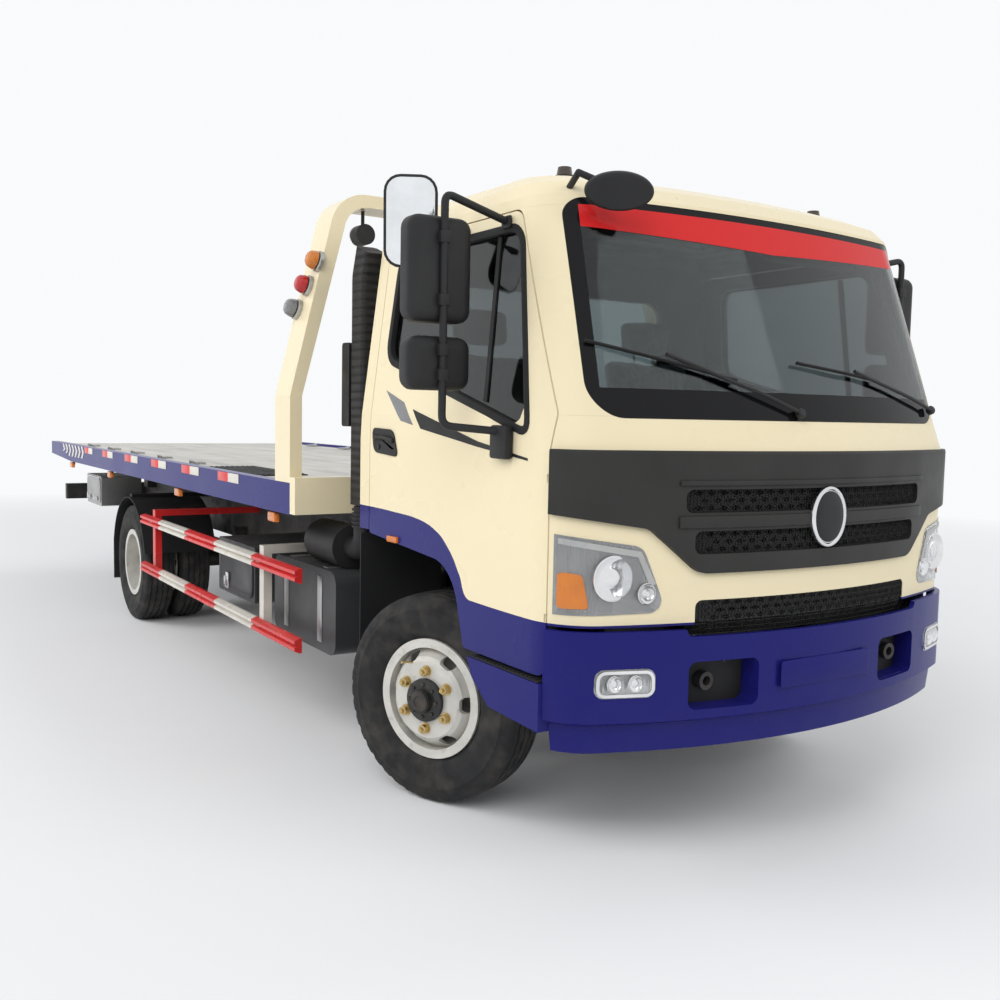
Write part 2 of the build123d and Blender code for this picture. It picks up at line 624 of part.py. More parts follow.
def mudguards():
    """Rear wings with hanging flaps, and the front wheels' splash guards."""
    inner, outer = 455, 461
    y0 = REAR_OUTER - DUAL_SPACING - TYRE_WIDTH / 2 - 10
    y1 = REAR_OUTER + TYRE_WIDTH / 2 + 12
    ring = Pos(-WHEELBASE, TYRE_RADIUS) * (Circle(outer) - Circle(inner))
    ring -= Pos(-WHEELBASE, TYRE_RADIUS - outer + 110) * Rectangle(2 * outer + 10, 2 * outer)
    wing = side_prism(ring, y0, y1)
    end = -WHEELBASE - math.sqrt(inner**2 - 110**2)
    wing += block(end - 8, end + 2, y0, y1, 230, TYRE_RADIUS + 125)
    wing += block(-WHEELBASE - 30, -WHEELBASE + 30, RAIL_OUT + SEAT, y1 - 20, TYRE_RADIUS + inner - 2, 886)
    flap = block(-487, -480, 560, 950, 330, 985)
    flap += block(-500, -480, RAIL_OUT + SEAT, 565, 640, 720)
    return Compound(both(wing).solids() + both(flap).solids())


def control_boxes():
    """Valve cabinets under the deck, behind the rear wheels."""
    box = side_prism(shape([(-5250, 740, 12), (-4750, 740, 12), (-4750, 965, 12), (-5250, 965, 12)]), 800, 1095)
    box += block(-5230, -4770, RAIL_OUT + SEAT, 805, 745, 790)
    return both(box)


def fog_outline(gap):
    """Right fog lamp in y and z, grown by a gap."""
    return shape([(-860 - gap, 620 - gap, 30), (-670 + gap, 620 - gap, 30), (-672 + gap, 712 + gap, 30),
                  (-858 - gap, 712 + gap, 30)])


def chassis_lamps():
    """Fog lamps in the bumper and lamp blocks on the rear beam."""
    fog = front_prism(fog_outline(0), 800, 1200) & (bumper_body(-1) - bumper_body(BUMPER_WALL))
    tail = block(RAIL_REAR - 112, RAIL_REAR - 70 - SEAT, 840, 1075, 715, 805)
    return Compound(both(fog).solids() + both(tail).solids())


def bumper():
    """Bowed skin with lamp pockets, the two towing recesses and a dip under the intake."""
    skin = (bumper_body(0) - bumper_body(BUMPER_WALL)) & block(BUMPER_REAR, NOSE + 50, -1100, 1100, 400, 900)
    recess = shape([(-560, 570, 30), (-300, 570, 30), (-300, 725, 30), (-560, 725, 30)])
    for outline in (fog_outline(SEAT), recess):
        cutter = front_prism(outline, 800, 1300)
        skin -= cutter
        skin -= other_side(cutter)
    dip = shape([(-600, 900, 0), (-560, 806, 20), (560, 806, 20), (600, 900, 0)])
    return skin - front_prism(dip, 800, 1300)


def step_skirts():
    """Skirts under the doors that carry the steps."""
    top = 655
    skirt = side_prism(
        shape([(BUMPER_REAR - SEAT, top, 0), (BUMPER_REAR - SEAT, 500, 0), (600, 512, 40), (490, 590, 30),
               (458, top, 0)]), 890, BUMPER_HALF,
    )
    hollow = block(520, BUMPER_REAR - 20, 890 - 1, BUMPER_HALF - 12, 540, top - 10)
    return both(skirt - hollow)


def oil_tank():
    """Hydraulic oil tank on its stand behind the cab."""
    back, front = DECK_FRONT + 10, DECK_FRONT + 84
    low, high = 1430, 1790
    x = (back + front) / 2
    tank = side_prism(shape([(back, low, 15), (front, low, 15), (front, high, 15), (back, high, 15)]), -940, -600)
    tank += bar((x, -860, high - 5), (x, -860, high + 35), 28)
    tank += block(x - 25, x + 25, -RAIL_OUT, -RAIL_OUT + 50, RAIL_TOP + SEAT, low + 70)
    tank += block(x - 25, x + 25, -620, -RAIL_OUT + 50, low + 20, low + 70)
    return tank


# Deck

def deck_rails():
    """Side rails of the deck, tapered towards the tail."""
    tail = DECK_FRONT - DECK_LENGTH
    front = DECK_FRONT - FRONT_BEAM - SEAT
    outline = shape([(front, RAIL_BOX_BOTTOM, 0), (front, RAIL_BOX_TOP, 0), (tail, RAIL_BOX_TOP, 0),
                     (tail, TAIL_BOTTOM, 0), (tail + TAIL_TAPER, RAIL_BOX_BOTTOM, 0)])
    return both(side_prism(outline, DECK_HALF - RAIL_BOX_WIDTH, DECK_HALF))


def deck_inside():
    """Half width between the side rails."""
    return DECK_HALF - RAIL_BOX_WIDTH - SEAT


def deck_floor():
    """Floor plate of the load area."""
    tail = DECK_FRONT - DECK_LENGTH
    front = DECK_FRONT - FRONT_BEAM - WINCH_FLOOR - SEAT
    return block(tail, front, -deck_inside(), deck_inside(), DECK_TOP - FLOOR_PLATE, DECK_TOP)


def deck_front():
    """Front beam with the floor that the winch stands on."""
    bottom = RAIL_BOX_BOTTOM + SHUT_GAP
    beam = block(DECK_FRONT - FRONT_BEAM, DECK_FRONT, -DECK_HALF, DECK_HALF, bottom, FRONT_BEAM_TOP)
    beam += block(DECK_FRONT - FRONT_BEAM - WINCH_FLOOR, DECK_FRONT - 10, -deck_inside(), deck_inside(),
                  DECK_TOP - FLOOR_PLATE, DECK_TOP)
    return beam


def deck_frame():
    """Stringers on the tilting frame, joists under the floor and the tail plate."""
    tail = DECK_FRONT - DECK_LENGTH
    front = DECK_FRONT - FRONT_BEAM - SEAT
    top = DECK_TOP - FLOOR_PLATE - SEAT
    base = BEAM_TOP + WEAR_STRIP + SEAT
    frame = Part()
    for side in (1, -1):
        y0, y1 = sorted((side * BEAM_IN, side * BEAM_OUT))
        frame += block(tail + 60, front, y0, y1, base, top)
        g0, g1 = sorted((side * (BEAM_OUT + SHUT_GAP), side * (BEAM_OUT + SHUT_GAP + 10)))
        frame += block(-3500, front - 40, g0, g1, GUIDE_BOTTOM, top)
    pitch = 560
    for number in range(10):
        x = front - 60 - number * pitch
        frame += block(x - 30, x + 30, -deck_inside(), deck_inside(), JOIST_BOTTOM, top)
    frame += block(tail, tail + 70, -deck_inside(), deck_inside(), TAIL_BOTTOM, top)
    return frame


def hoop():
    """Band-section hoop that stands on the side rails and leans in above its kink."""
    def band(inset):
        half, top, crest = DECK_HALF - inset, HOOP_TOP - inset, HOOP_TOP_HALF - inset
        foot = RAIL_BOX_TOP + SEAT - (1 if inset else 0)
        corner = HOOP_CORNER - inset
        return shape([(half, foot, 0), (half, HOOP_KINK, 0), (crest, top, corner), (-crest, top, corner),
                      (-half, HOOP_KINK, 0), (-half, foot, 0)])
    return front_prism(band(0) - band(HOOP_BAND), HOOP_FRONT - HOOP_DEPTH, HOOP_FRONT)


def hoop_face(z):
    """Half width of the hoop's leaning outer face at a height."""
    return DECK_HALF - (DECK_HALF - HOOP_TOP_HALF) * (z - HOOP_KINK) / (HOOP_TOP - HOOP_KINK)


def hoop_lamps():
    """Three round lamps on each leaning leg and a work lamp inside each corner."""
    lean = math.degrees(math.atan2(DECK_HALF - HOOP_TOP_HALF, HOOP_TOP - HOOP_KINK))
    lamps = []
    # Columns: station, height.
    for x, z in ((-800, 2140), (-862, 2040), (-925, 1940)):
        place = Pos(x, hoop_face(z) + SEAT, z) * Rot(-90 + lean, 0, 0)
        lamp = place * (Pos(0, 0, 12) * Cylinder(36, 24) + Pos(0, 0, 34) * Cylinder(31, 22))
        lamps += lamp.solids()
    z = 2330
    y = hoop_face(z) - HOOP_BAND - 135
    work = bar((HOOP_FRONT - 130, y, z - 40), (HOOP_FRONT - 60, y, z - 40), 46)
    work += bar((HOOP_FRONT - 95, y, z - 40), (HOOP_FRONT - 95, y, HOOP_TOP - HOOP_BAND - SEAT), 8)
    lamps += work.solids()
    return Compound(lamps + [mirror(lamp, about=Plane.XZ) for lamp in lamps])


def winch():
    """Winch drum between two cheeks on a base plate, with its motor."""
    base = DECK_TOP + SEAT
    x, z = -1120, base + 115
    body = block(x - 150, x + 150, -270, 270, base, base + 12)
    for y0, y1 in ((-215, -195), (195, 215)):
        body += side_prism(shape([(x - 120, base, 0), (x + 120, base, 0), (x + 70, z + 75, 40),
                                  (x - 70, z + 75, 40)]), y0, y1)
    body += bar((x, -200, z), (x, 200, z), 62)
    body += bar((x, 210, z), (x, 380, z), 55)
    body += bar((x, -300, z), (x, -210, z), 70)
    return body


# Cab

def door_outline(gap):
    """Door in x and z, grown by a gap all round."""
    return shape([
        (DOOR_REAR - gap, 1000 - gap, 20), (DOOR_REAR + 10 - gap, DOOR_TOP + gap, 60),
        (590 + gap, DOOR_TOP + gap, 60), (DOOR_FRONT + gap, 1500, 60), (DOOR_FRONT + gap, 672 - gap, 30),
        (398 - gap, 672 - gap, 20), (312 - gap, 952 - gap, 200),
    ])


def window_outline(gap):
    """Door window in x and z, grown by a gap."""
    (a, b, r), (c, d, s), (e, f, t), (g, h, u) = WINDOW
    return shape([(a - gap, b - gap, r), (c - gap, d + gap, s), (e + gap, f + gap, t), (g + gap, h - gap, u)])


def screen_outline(gap):
    """Windscreen in y and z, grown by a gap."""
    low, high = 858 + gap, 818 + gap
    z0, z1 = SCREEN_BASE - 6 - gap, 2202 + gap
    return shape([(-low, z0, 110), (low, z0, 110), (high, z1, 70), (-high, z1, 70)])


def rear_window_outline(gap):
    """Back window in y and z, grown by a gap."""
    half, z0, z1 = 600 + gap, 1600 - gap, 2040 + gap
    return shape([(-half, z0, 60), (half, z0, 60), (half, z1, 60), (-half, z1, 60)])


def headlamp_outline(gap):
    """Left headlamp in y and z, grown by a gap."""
    return shape([(980 + gap, 876 - gap, 10), (980 + gap, 1134 + gap, 10), (705, 1092 + gap, 50),
                  (622 - gap, 884 - gap, 40)])


def grille_outline(gap, half):
    """Grille in y and z: a band across the cab with a deeper middle."""
    right = [(half + gap, 1393 + gap, 10), (half + gap, 1196 - gap, 30), (690, 1148 - gap, 60),
             (520, 1004 - gap, 90)]
    left = [(-y, z, r) for y, z, r in reversed(right)]
    return shape(right + left)


def mesh_window(half, z0, z1, gap):
    """Round-ended slot in y and z, grown by a gap."""
    return shape([(-half - gap, z0 - gap, 24), (half + gap, z0 - gap, 24), (half + gap, z1 + gap, 24),
                  (-half - gap, z1 + gap, 24)])


def cab_panels():
    """Roof, back, pillars and front panel, cut from one hollow shell where the real panels meet."""
    shell = cab_body(0) - cab_body(WALL)
    doors = side_prism(door_outline(SHUT_GAP), 500, 1100)
    shell -= doors
    shell -= other_side(doors)
    shell -= front_prism(screen_outline(SEAT), 300, 1300)
    shell -= front_prism(rear_window_outline(SEAT), CAB_REAR - 100, 0)
    far = 3000
    roof = shell & block(-far, far, -far, far, CAB_SPLIT, far)
    lower = shell & block(-far, far, -far, far, 0, CAB_SPLIT - SEAT)
    back = lower & block(-far, 0, -far, far, CAB_FLOOR_Z, far)
    pillars = lower & block(400, far, -far, far, SCREEN_BASE, far)
    front = lower & block(DOOR_FRONT, far, -far, far, CAB_FRONT_Z, SCREEN_BASE - SEAT)
    front -= front_prism(grille_outline(SEAT, GRILLE_HALF), 700, 1300)
    lamp = front_prism(headlamp_outline(SEAT), 905, 1300)
    front -= lamp
    front -= other_side(lamp)
    front -= front_prism(mesh_window(*INTAKE, SEAT), 700, 1300)
    half, low, high = INTAKE
    front -= block(700, 1300, -half - SEAT, half + SEAT, 0, (low + high) / 2)
    for z in HINGE_HEIGHTS:
        tab = block(HINGE_X - 7, HINGE_X + 7, HINGE_ARM, HINGE_Y + 3, z - 8, z + 8)
        tab += block(HINGE_X - 7, DOOR_FRONT + 33, HINGE_ARM, HINGE_ARM + 21, z - 8, z + 8)
        tab += bar((HINGE_X, HINGE_Y, z - 40), (HINGE_X, HINGE_Y, z + 40), HINGE_PIN)
        front += tab
        front += other_side(tab)
    return {"cab_roof": roof, "cab_back": back, "cab_pillars": pillars, "cab_front": front}


def left_door():
    """Left door with its window cut and pockets for the two hinges."""
    wall = cab_body(0) - cab_body(WALL)
    door = wall & side_prism(door_outline(0), 500, 1100)
    door -= side_prism(window_outline(0), 500, 1100)
    for z in HINGE_HEIGHTS:
        door -= block(HINGE_X - 16, DOOR_FRONT + 10, 700, HINGE_Y + 8, z - 13, z + 13)
        door -= bar((HINGE_X, HINGE_Y, z - 45), (HINGE_X, HINGE_Y, z + 45), HINGE_PIN + PIN_GAP)
    return door


def door_face(z):
    """Half width of the door's leaning upper skin at a height."""
    z0, half0 = CAB_PLANS[2][0], CAB_PLANS[2][2]
    z1, half1 = CAB_PLANS[3][0], CAB_PLANS[3][2]
    return half0 + (half1 - half0) * (z - z0) / (z1 - z0)


def left_door_glass():
    """Left door's window glass, set in the middle of the door's leaning upper half."""
    low, high = 1400, 2200
    outer_low, outer_high = door_face(low) - GLASS_INSET, door_face(high) - GLASS_INSET
    slab = Polygon((outer_low, low), (outer_high, high), (outer_high - GLASS, high), (outer_low - GLASS, low),
                   align=None)
    return side_prism(window_outline(-SEAT), 500, 1100) & front_prism(slab, DOOR_REAR, DOOR_FRONT)


def cab_glass():
    """Windscreen and back window."""
    pane = cab_body(2) - cab_body(2 + GLASS + 1)
    screen = pane & front_prism(screen_outline(0), 300, 1300)
    back = pane & front_prism(rear_window_outline(0), CAB_REAR - 100, 0)
    return Compound(screen.solids() + back.solids())


def headlamps():
    """Lamp units that wrap round the front corners."""
    unit = (cab_body(-3) - cab_body(60)) & front_prism(headlamp_outline(0), 905 + SEAT, 1300)
    return both(unit)


def grille():
    """Dark band with two mesh windows, proud of the panel and wrapped round its corners."""
    proud = cab_body(-GRILLE_PROUD)
    middle = (proud - cab_body(25)) & front_prism(grille_outline(0, GRILLE_HALF), 700, 1300)
    wrap = (proud - cab_body(-SEAT)) & front_prism(grille_outline(0, 1000), DOOR_FRONT + 14, 1300)
    band = middle + wrap
    for half, z0, z1 in MESHES:
        band -= front_prism(mesh_window(half, z0, z1, 0), 700, 1300)
    return band


def grille_mesh():
    """Diamond mesh in the grille's two windows and in the intake under it."""
    sheets = []
    layer = cab_body(4) - cab_body(11)
    pitch_y, pitch_z = 46, 24
    for half, z0, z1 in MESHES + [INTAKE]:
        flat = mesh_window(half, z0, z1, -SEAT)
        rows = round((z1 - z0) / pitch_z)
        columns = int(2 * (half - 40) / pitch_y)
        holes = []
        for row in range(rows):
            shift = 0.5 if row % 2 else 0.0
            for column in range(columns):
                y = (column + shift - columns / 2 + 0.25) * pitch_y
                z = (z0 + z1) / 2 + (row - (rows - 1) / 2) * pitch_z
                holes.append(Pos(y, z) * Polygon((-19, 0), (0, -9), (19, 0), (0, 9), align=None))
        sheets += (layer & front_prism(flat - holes, 700, 1300)).solids()
    return Compound(sheets)


def cab_floor():
    """Floor with footwells, tunnel and the two pivot lugs."""
    plate = FLOOR_PLATE_CAB
    edge = DOOR_SWEEP
    front = 1100
    floor = block(CAB_REAR, 430, -edge, edge, CAB_FLOOR_Z, CAB_FLOOR_Z + plate)
    floor += block(400, front, -TUNNEL_HALF - plate, TUNNEL_HALF + plate, CAB_FLOOR_Z, CAB_FLOOR_Z + plate)
    for side in (1, -1):
        inner, outer = sorted((side * TUNNEL_HALF, side * edge))
        floor += block(420, 880, inner, outer, FOOTWELL_Z, FOOTWELL_Z + plate)
        floor += block(420, 420 + plate, inner, outer, FOOTWELL_Z, CAB_FLOOR_Z + plate)
        wall = sorted((side * TUNNEL_HALF, side * (TUNNEL_HALF + plate)))
        floor += block(420, 940, wall[0], wall[1], FOOTWELL_Z, CAB_FLOOR_Z + plate)
        toe = shape([(855, FOOTWELL_Z, 0), (880, FOOTWELL_Z, 0), (960, 860, 0), (960, CAB_FLOOR_Z + plate, 0),
                     (935, CAB_FLOOR_Z + plate, 0), (935, 866, 0)])
        floor += side_prism(toe, *sorted((side * TUNNEL_HALF, side * 760)))
        lug = sorted((side * (PIVOT_Y - 17), side * (PIVOT_Y + 17)))
        floor += side_prism(
            shape([(CAB_PIVOT_X - PIVOT_REACH, CAB_FLOOR_Z + 5, 0),
                   (CAB_PIVOT_X - PIVOT_REACH, CAB_PIVOT_Z - PIVOT_REACH, 20),
                   (CAB_PIVOT_X + PIVOT_REACH, CAB_PIVOT_Z - PIVOT_REACH, 20),
                   (CAB_PIVOT_X + PIVOT_REACH, CAB_FLOOR_Z + 5, 0)]), *lug,
        )
        floor -= bar((CAB_PIVOT_X, side * 300, CAB_PIVOT_Z), (CAB_PIVOT_X, side * 500, CAB_PIVOT_Z),
                     CAB_PIVOT_PIN + PIN_GAP)
    return floor & cab_body(WALL + SEAT)


def roof_lamps():
    """Marker lamps on the roof's front edge."""
    lamp = Pos(490, 638, 2300) * Cone(34, 24, 60, align=(Align.CENTER, Align.CENTER, Align.MIN))
    return both(lamp - cab_body(-SEAT))


def front_mirror():
    """Oval mirror on a bent arm from the roof's right front corner."""
    foot, elbow, head = (690, -770, 2230), (790, -800, 2268), (868, -700, 2215)
    arm = bar(foot, elbow, 11) + Pos(*elbow) * Sphere(11) + bar(elbow, head, 11)
    dish = fillet(extrude(Ellipse(62, 112), 34).edges(), 12)
    arm += Pos(*head) * Rot(0, 0, -25) * Rot(0, 118, 0) * dish
    return arm - cab_body(-SEAT)


def dashboard():
    """Instrument panel with the column and the steering wheel, for a left-hand driver."""
    panel = side_prism(
        shape([(640, 1180, 40), (600, 1330, 50), (700, 1450, 60), (1000, 1470, 20), (1080, 1380, 0),
               (1080, 1180, 0)]), -DOOR_SWEEP, DOOR_SWEEP,
    )
    panel = panel & cab_body(WALL + SEAT)
    centre = Vector(470, 430, 1430)
    lean = Vector(-0.55, 0, 0.83).normalized()
    wheel = Plane(origin=centre, z_dir=lean).location * Torus(205, 16)
    wheel += bar(centre - lean * 20, centre + lean * 25, 60)
    for angle in (0, 120, 240):
        spoke = Plane(origin=centre, z_dir=lean).location * (Rot(0, 0, angle) * (Pos(105, 0, 0) * Box(200, 34, 14)))
        wheel += spoke
    wheel += bar(centre, centre - lean * 330, 30)
    return panel + wheel


def seats():
    """Driver's seat and a double passenger seat, each with its back."""
    places = []
    base = CAB_FLOOR_Z + FLOOR_PLATE_CAB + SEAT
    for y0, y1 in ((190, 690), (-700, 120)):
        cushion = side_prism(shape([(-330, base, 20), (190, base, 20), (210, base + 330, 70), (-330, base + 300, 40)]),
                             y0, y1)
        back = side_prism(shape([(-330, base + 240, 20), (-230, base + 250, 30), (-300, 1960, 50), (-400, 1960, 50)]),
                          y0, y1)
        places += (cushion + back).solids()
    return Compound(places)


def snorkel():
    """Intake duct up the back of the cab's right corner."""
    x = -560
    path = FilletPolyline((x, -895, 1096), (x, -895, 2060), (x + 40, -895, 2170), radius=80)
    duct = sweep(Plane((x, -895, 1096), z_dir=(0, 0, 1)) * RectangleRounded(120, 96, 20), path=path)
    duct += block(x, CAB_REAR - SEAT, -915, -875, 1180, 1230)
    duct += block(x, CAB_REAR - SEAT, -915, -875, 1420, 1460)
    return duct


def left_mirror():
    """Left mirrors: a bent arm on the door with a main head and a wide-angle head."""
    x, y = 550, 1150
    low, high = 1440, 2200
    skin = CAB_PLANS[1][2] + SEAT
    path = FilletPolyline((640, 985, low), (x, y, low + 15), (x, y, high), (520, door_face(2140) + SEAT + 2, 2140),
                          radius=60)
    arm = sweep(Plane((640, 985, low), z_dir=Vector(x - 640, y - 985, 15)) * Circle(13), path=path)
    arm += block(600, 700, skin, 1000, 1350, 1460)
    arm += block(495, 545, door_face(2118) + SEAT, door_face(2118) + 14, 2118, 2160)
    # Heads. Columns: bottom, top.
    for z0, z1 in ((1790, 2130), (1570, 1745)):
        head = extrude(Plane.XY.offset(z0) * Pos(x - 48, y) * RectangleRounded(80, 232, 35), z1 - z0)
        arm += head
    return arm


def kerb_mirror():
    """Extra mirror head on the right door's window frame, turned to the front."""
    head = extrude(RectangleRounded(190, 320, 60), 45)
    head = Pos(200, -1090, 2165) * Rot(0, 0, 240) * Rot(84, 0, 0) * head
    face = door_face(2140)
    arm = bar((263, 10 - face, 2139), (215, -1085, 2150), 11)
    return head + (arm - cab_body(-SEAT))


def shifted(piece):
    """Moves a piece from stations to the truck's own origin."""
    middle = (NOSE + DECK_FRONT - DECK_LENGTH) / 2
    return Pos(-middle, 0, 0) * piece


def build():
    """All pieces by name, in stations."""
    pieces = {}
    rear_mid = REAR_OUTER - DUAL_SPACING / 2
    wheels = {
        "front_wheel": at_kingpin(Pos(0, FRONT_HALF_TRACK, TYRE_RADIUS) * front_wheel(), 1),
        "front_tyre": at_kingpin(Pos(0, FRONT_HALF_TRACK, TYRE_RADIUS) * tyre_ring(), 1),
        "knuckle": at_kingpin(knuckle(), 1),
    }
    for name, piece in wheels.items():
        pieces[name + "_left"] = piece
    right = {
        "front_wheel": other_side(Pos(0, FRONT_HALF_TRACK, TYRE_RADIUS) * front_wheel()),
        "front_tyre": other_side(Pos(0, FRONT_HALF_TRACK, TYRE_RADIUS) * tyre_ring()),
        "knuckle": other_side(knuckle()),
    }
    for name, piece in right.items():
        pieces[name + "_right"] = at_kingpin(piece, -1)
    rear = Pos(-WHEELBASE, rear_mid, TYRE_RADIUS) * rear_wheel()
    pair = [Pos(-WHEELBASE, rear_mid + s * DUAL_SPACING / 2, TYRE_RADIUS) * tyre_ring() for s in (1, -1)]
    tyres = Compound(pair[0].solids() + pair[1].solids())
    pieces["rear_wheels_left"] = rear
    pieces["rear_wheels_right"] = other_side(rear)
    pieces["rear_tyres_left"] = tyres
    pieces["rear_tyres_right"] = other_side(tyres)
    door, pane, mirrors = left_door(), left_door_glass(), left_mirror()
    for name, piece in (("door", door), ("door_glass", pane), ("mirror", mirrors)):
        pieces[name + "_left"] = piece
        pieces[name + "_right"] = other_side(piece)
    pieces["mirror_right"] = Compound(pieces["mirror_right"].solids() + kerb_mirror().solids())
    pieces.update(cab_panels())
    for make in (
        tie_rod, front_axle, rear_axle, leaf_springs, driveline, chassis_frame, tow_sockets, subframe, tilt_frame,
        tilt_barrels, tilt_rods, frame_boxes, exhaust, air_cleaner, side_guards, mudguards, control_boxes,
        chassis_lamps, bumper, step_skirts, oil_tank, deck_rails, deck_floor, deck_front, deck_frame, hoop,
        hoop_lamps, winch, cab_glass, headlamps, grille, grille_mesh, cab_floor, roof_lamps, dashboard, seats,
        snorkel, front_mirror,
    ):
        pieces[make.__name__] = make()
    return pieces


os.makedirs("parts", exist_ok=True)
for name, piece in build().items():
    export_step(Compound(shifted(piece).solids()), f"parts/{name}.step")
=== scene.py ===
"""Looks of a flatbed tow truck, laid out as an add-on: paint, lamps, tyres, trim, cabin and stage."""

import json
import math

import bmesh
import bpy
from bpy.props import FloatProperty, FloatVectorProperty, IntProperty, PointerProperty
from mathutils import Matrix, Vector


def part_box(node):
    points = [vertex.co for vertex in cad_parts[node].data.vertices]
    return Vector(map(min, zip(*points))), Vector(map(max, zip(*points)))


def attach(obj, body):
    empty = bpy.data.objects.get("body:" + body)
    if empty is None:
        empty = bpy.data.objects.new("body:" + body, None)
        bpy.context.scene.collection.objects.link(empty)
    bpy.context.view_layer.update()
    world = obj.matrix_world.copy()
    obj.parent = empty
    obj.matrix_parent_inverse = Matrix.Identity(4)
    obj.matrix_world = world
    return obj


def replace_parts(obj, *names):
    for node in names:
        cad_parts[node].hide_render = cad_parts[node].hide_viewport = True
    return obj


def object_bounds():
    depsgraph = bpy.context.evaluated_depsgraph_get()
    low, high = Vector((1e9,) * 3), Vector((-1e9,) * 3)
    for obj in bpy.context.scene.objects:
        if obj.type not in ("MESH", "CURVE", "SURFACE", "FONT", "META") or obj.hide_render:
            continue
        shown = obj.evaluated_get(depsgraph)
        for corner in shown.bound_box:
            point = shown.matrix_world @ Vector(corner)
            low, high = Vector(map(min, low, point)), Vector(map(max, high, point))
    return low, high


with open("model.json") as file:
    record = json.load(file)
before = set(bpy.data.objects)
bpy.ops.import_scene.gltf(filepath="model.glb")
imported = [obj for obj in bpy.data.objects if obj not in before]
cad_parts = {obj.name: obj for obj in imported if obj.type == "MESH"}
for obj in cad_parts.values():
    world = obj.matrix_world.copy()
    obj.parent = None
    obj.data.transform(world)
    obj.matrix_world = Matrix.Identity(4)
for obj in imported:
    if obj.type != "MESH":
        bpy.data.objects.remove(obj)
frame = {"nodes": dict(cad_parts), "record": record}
CAD_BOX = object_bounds()
NODES = frame["nodes"]

bl_info = {
    "name": "Flatbed Tow Truck",
    "version": (1, 0, 0),
    "blender": (4, 5, 0),
    "location": "3D View > Sidebar > Tow Truck",
    "description": "Builds the paint, lamps, tyres, trim and cabin of a flatbed tow truck",
    "category": "Object",
}

JOINTS = {joint["name"]: joint for joint in frame["record"]["behaviour"]["joints"]}
FRONT_X = JOINTS["steer_left"]["pos_m"][0]
SIDES = (("left", 1), ("right", -1))


def at(x, y, z):
    """Point from its station ahead of the front axle, its distance to the left and its height."""
    return Vector((FRONT_X + x, y, z))


# Sizes and colours that a user would change

def colour(name, description, default):
    return FloatVectorProperty(name=name, description=description, default=default, subtype="COLOR",
                               size=3, min=0.0, max=1.0)


def length(name, description, default):
    return FloatProperty(name=name, description=description, default=default, unit="LENGTH", min=0.0)


class TruckColours(bpy.types.PropertyGroup):
    """Paint and lens colours."""
    cream: colour("Cream", "Cab, hoop and front beam", (0.84, 0.735, 0.50))
    blue: colour("Blue", "Bumper, lower cab and deck rails", (0.012, 0.012, 0.145))
    grille: colour("Grille", "Dark band across the cab's front", (0.034, 0.034, 0.032))
    plastic: colour("Plastic", "Mirrors, flaps and other moulded trim", (0.016, 0.016, 0.017))
    chassis: colour("Chassis", "Frame, axles and boxes", (0.012, 0.012, 0.013))
    deck: colour("Deck", "Deck floor", (0.60, 0.575, 0.52))
    red: colour("Red", "Guard bands and reflectors", (0.66, 0.025, 0.025))
    white: colour("White", "Guard bands and reflectors", (0.66, 0.63, 0.56))
    silver: colour("Silver", "Wheels", (0.66, 0.64, 0.59))
    brass: colour("Brass", "Wheel nuts and plated fittings", (0.62, 0.47, 0.22))
    amber: colour("Amber", "Turn and marker lenses", (0.95, 0.28, 0.02))
    cloth: colour("Cloth", "Seats", (0.26, 0.26, 0.27))


class TruckSizes(bpy.types.PropertyGroup):
    """Sizes of the small pieces."""
    seal: length("Window seal", "Width of the rubber round a door window", 0.020)
    tread: length("Tread depth", "Depth of the tyre grooves", 0.009)
    nut: length("Nut radius", "Across the corners of a wheel nut", 0.0165)
    nut_circle: length("Nut circle", "Radius of the circle that the wheel nuts stand on", 0.111)
    nuts: IntProperty(name="Nuts", description="Wheel nuts on each wheel", default=6, min=3)
    wiper: length("Wiper width", "Width of a wiper arm", 0.016)
    reflector: length("Reflector height", "Height of the strips on the deck rails", 0.046)


def paint_of():
    return bpy.context.scene.truck_colours


def size_of():
    return bpy.context.scene.truck_sizes


# Materials

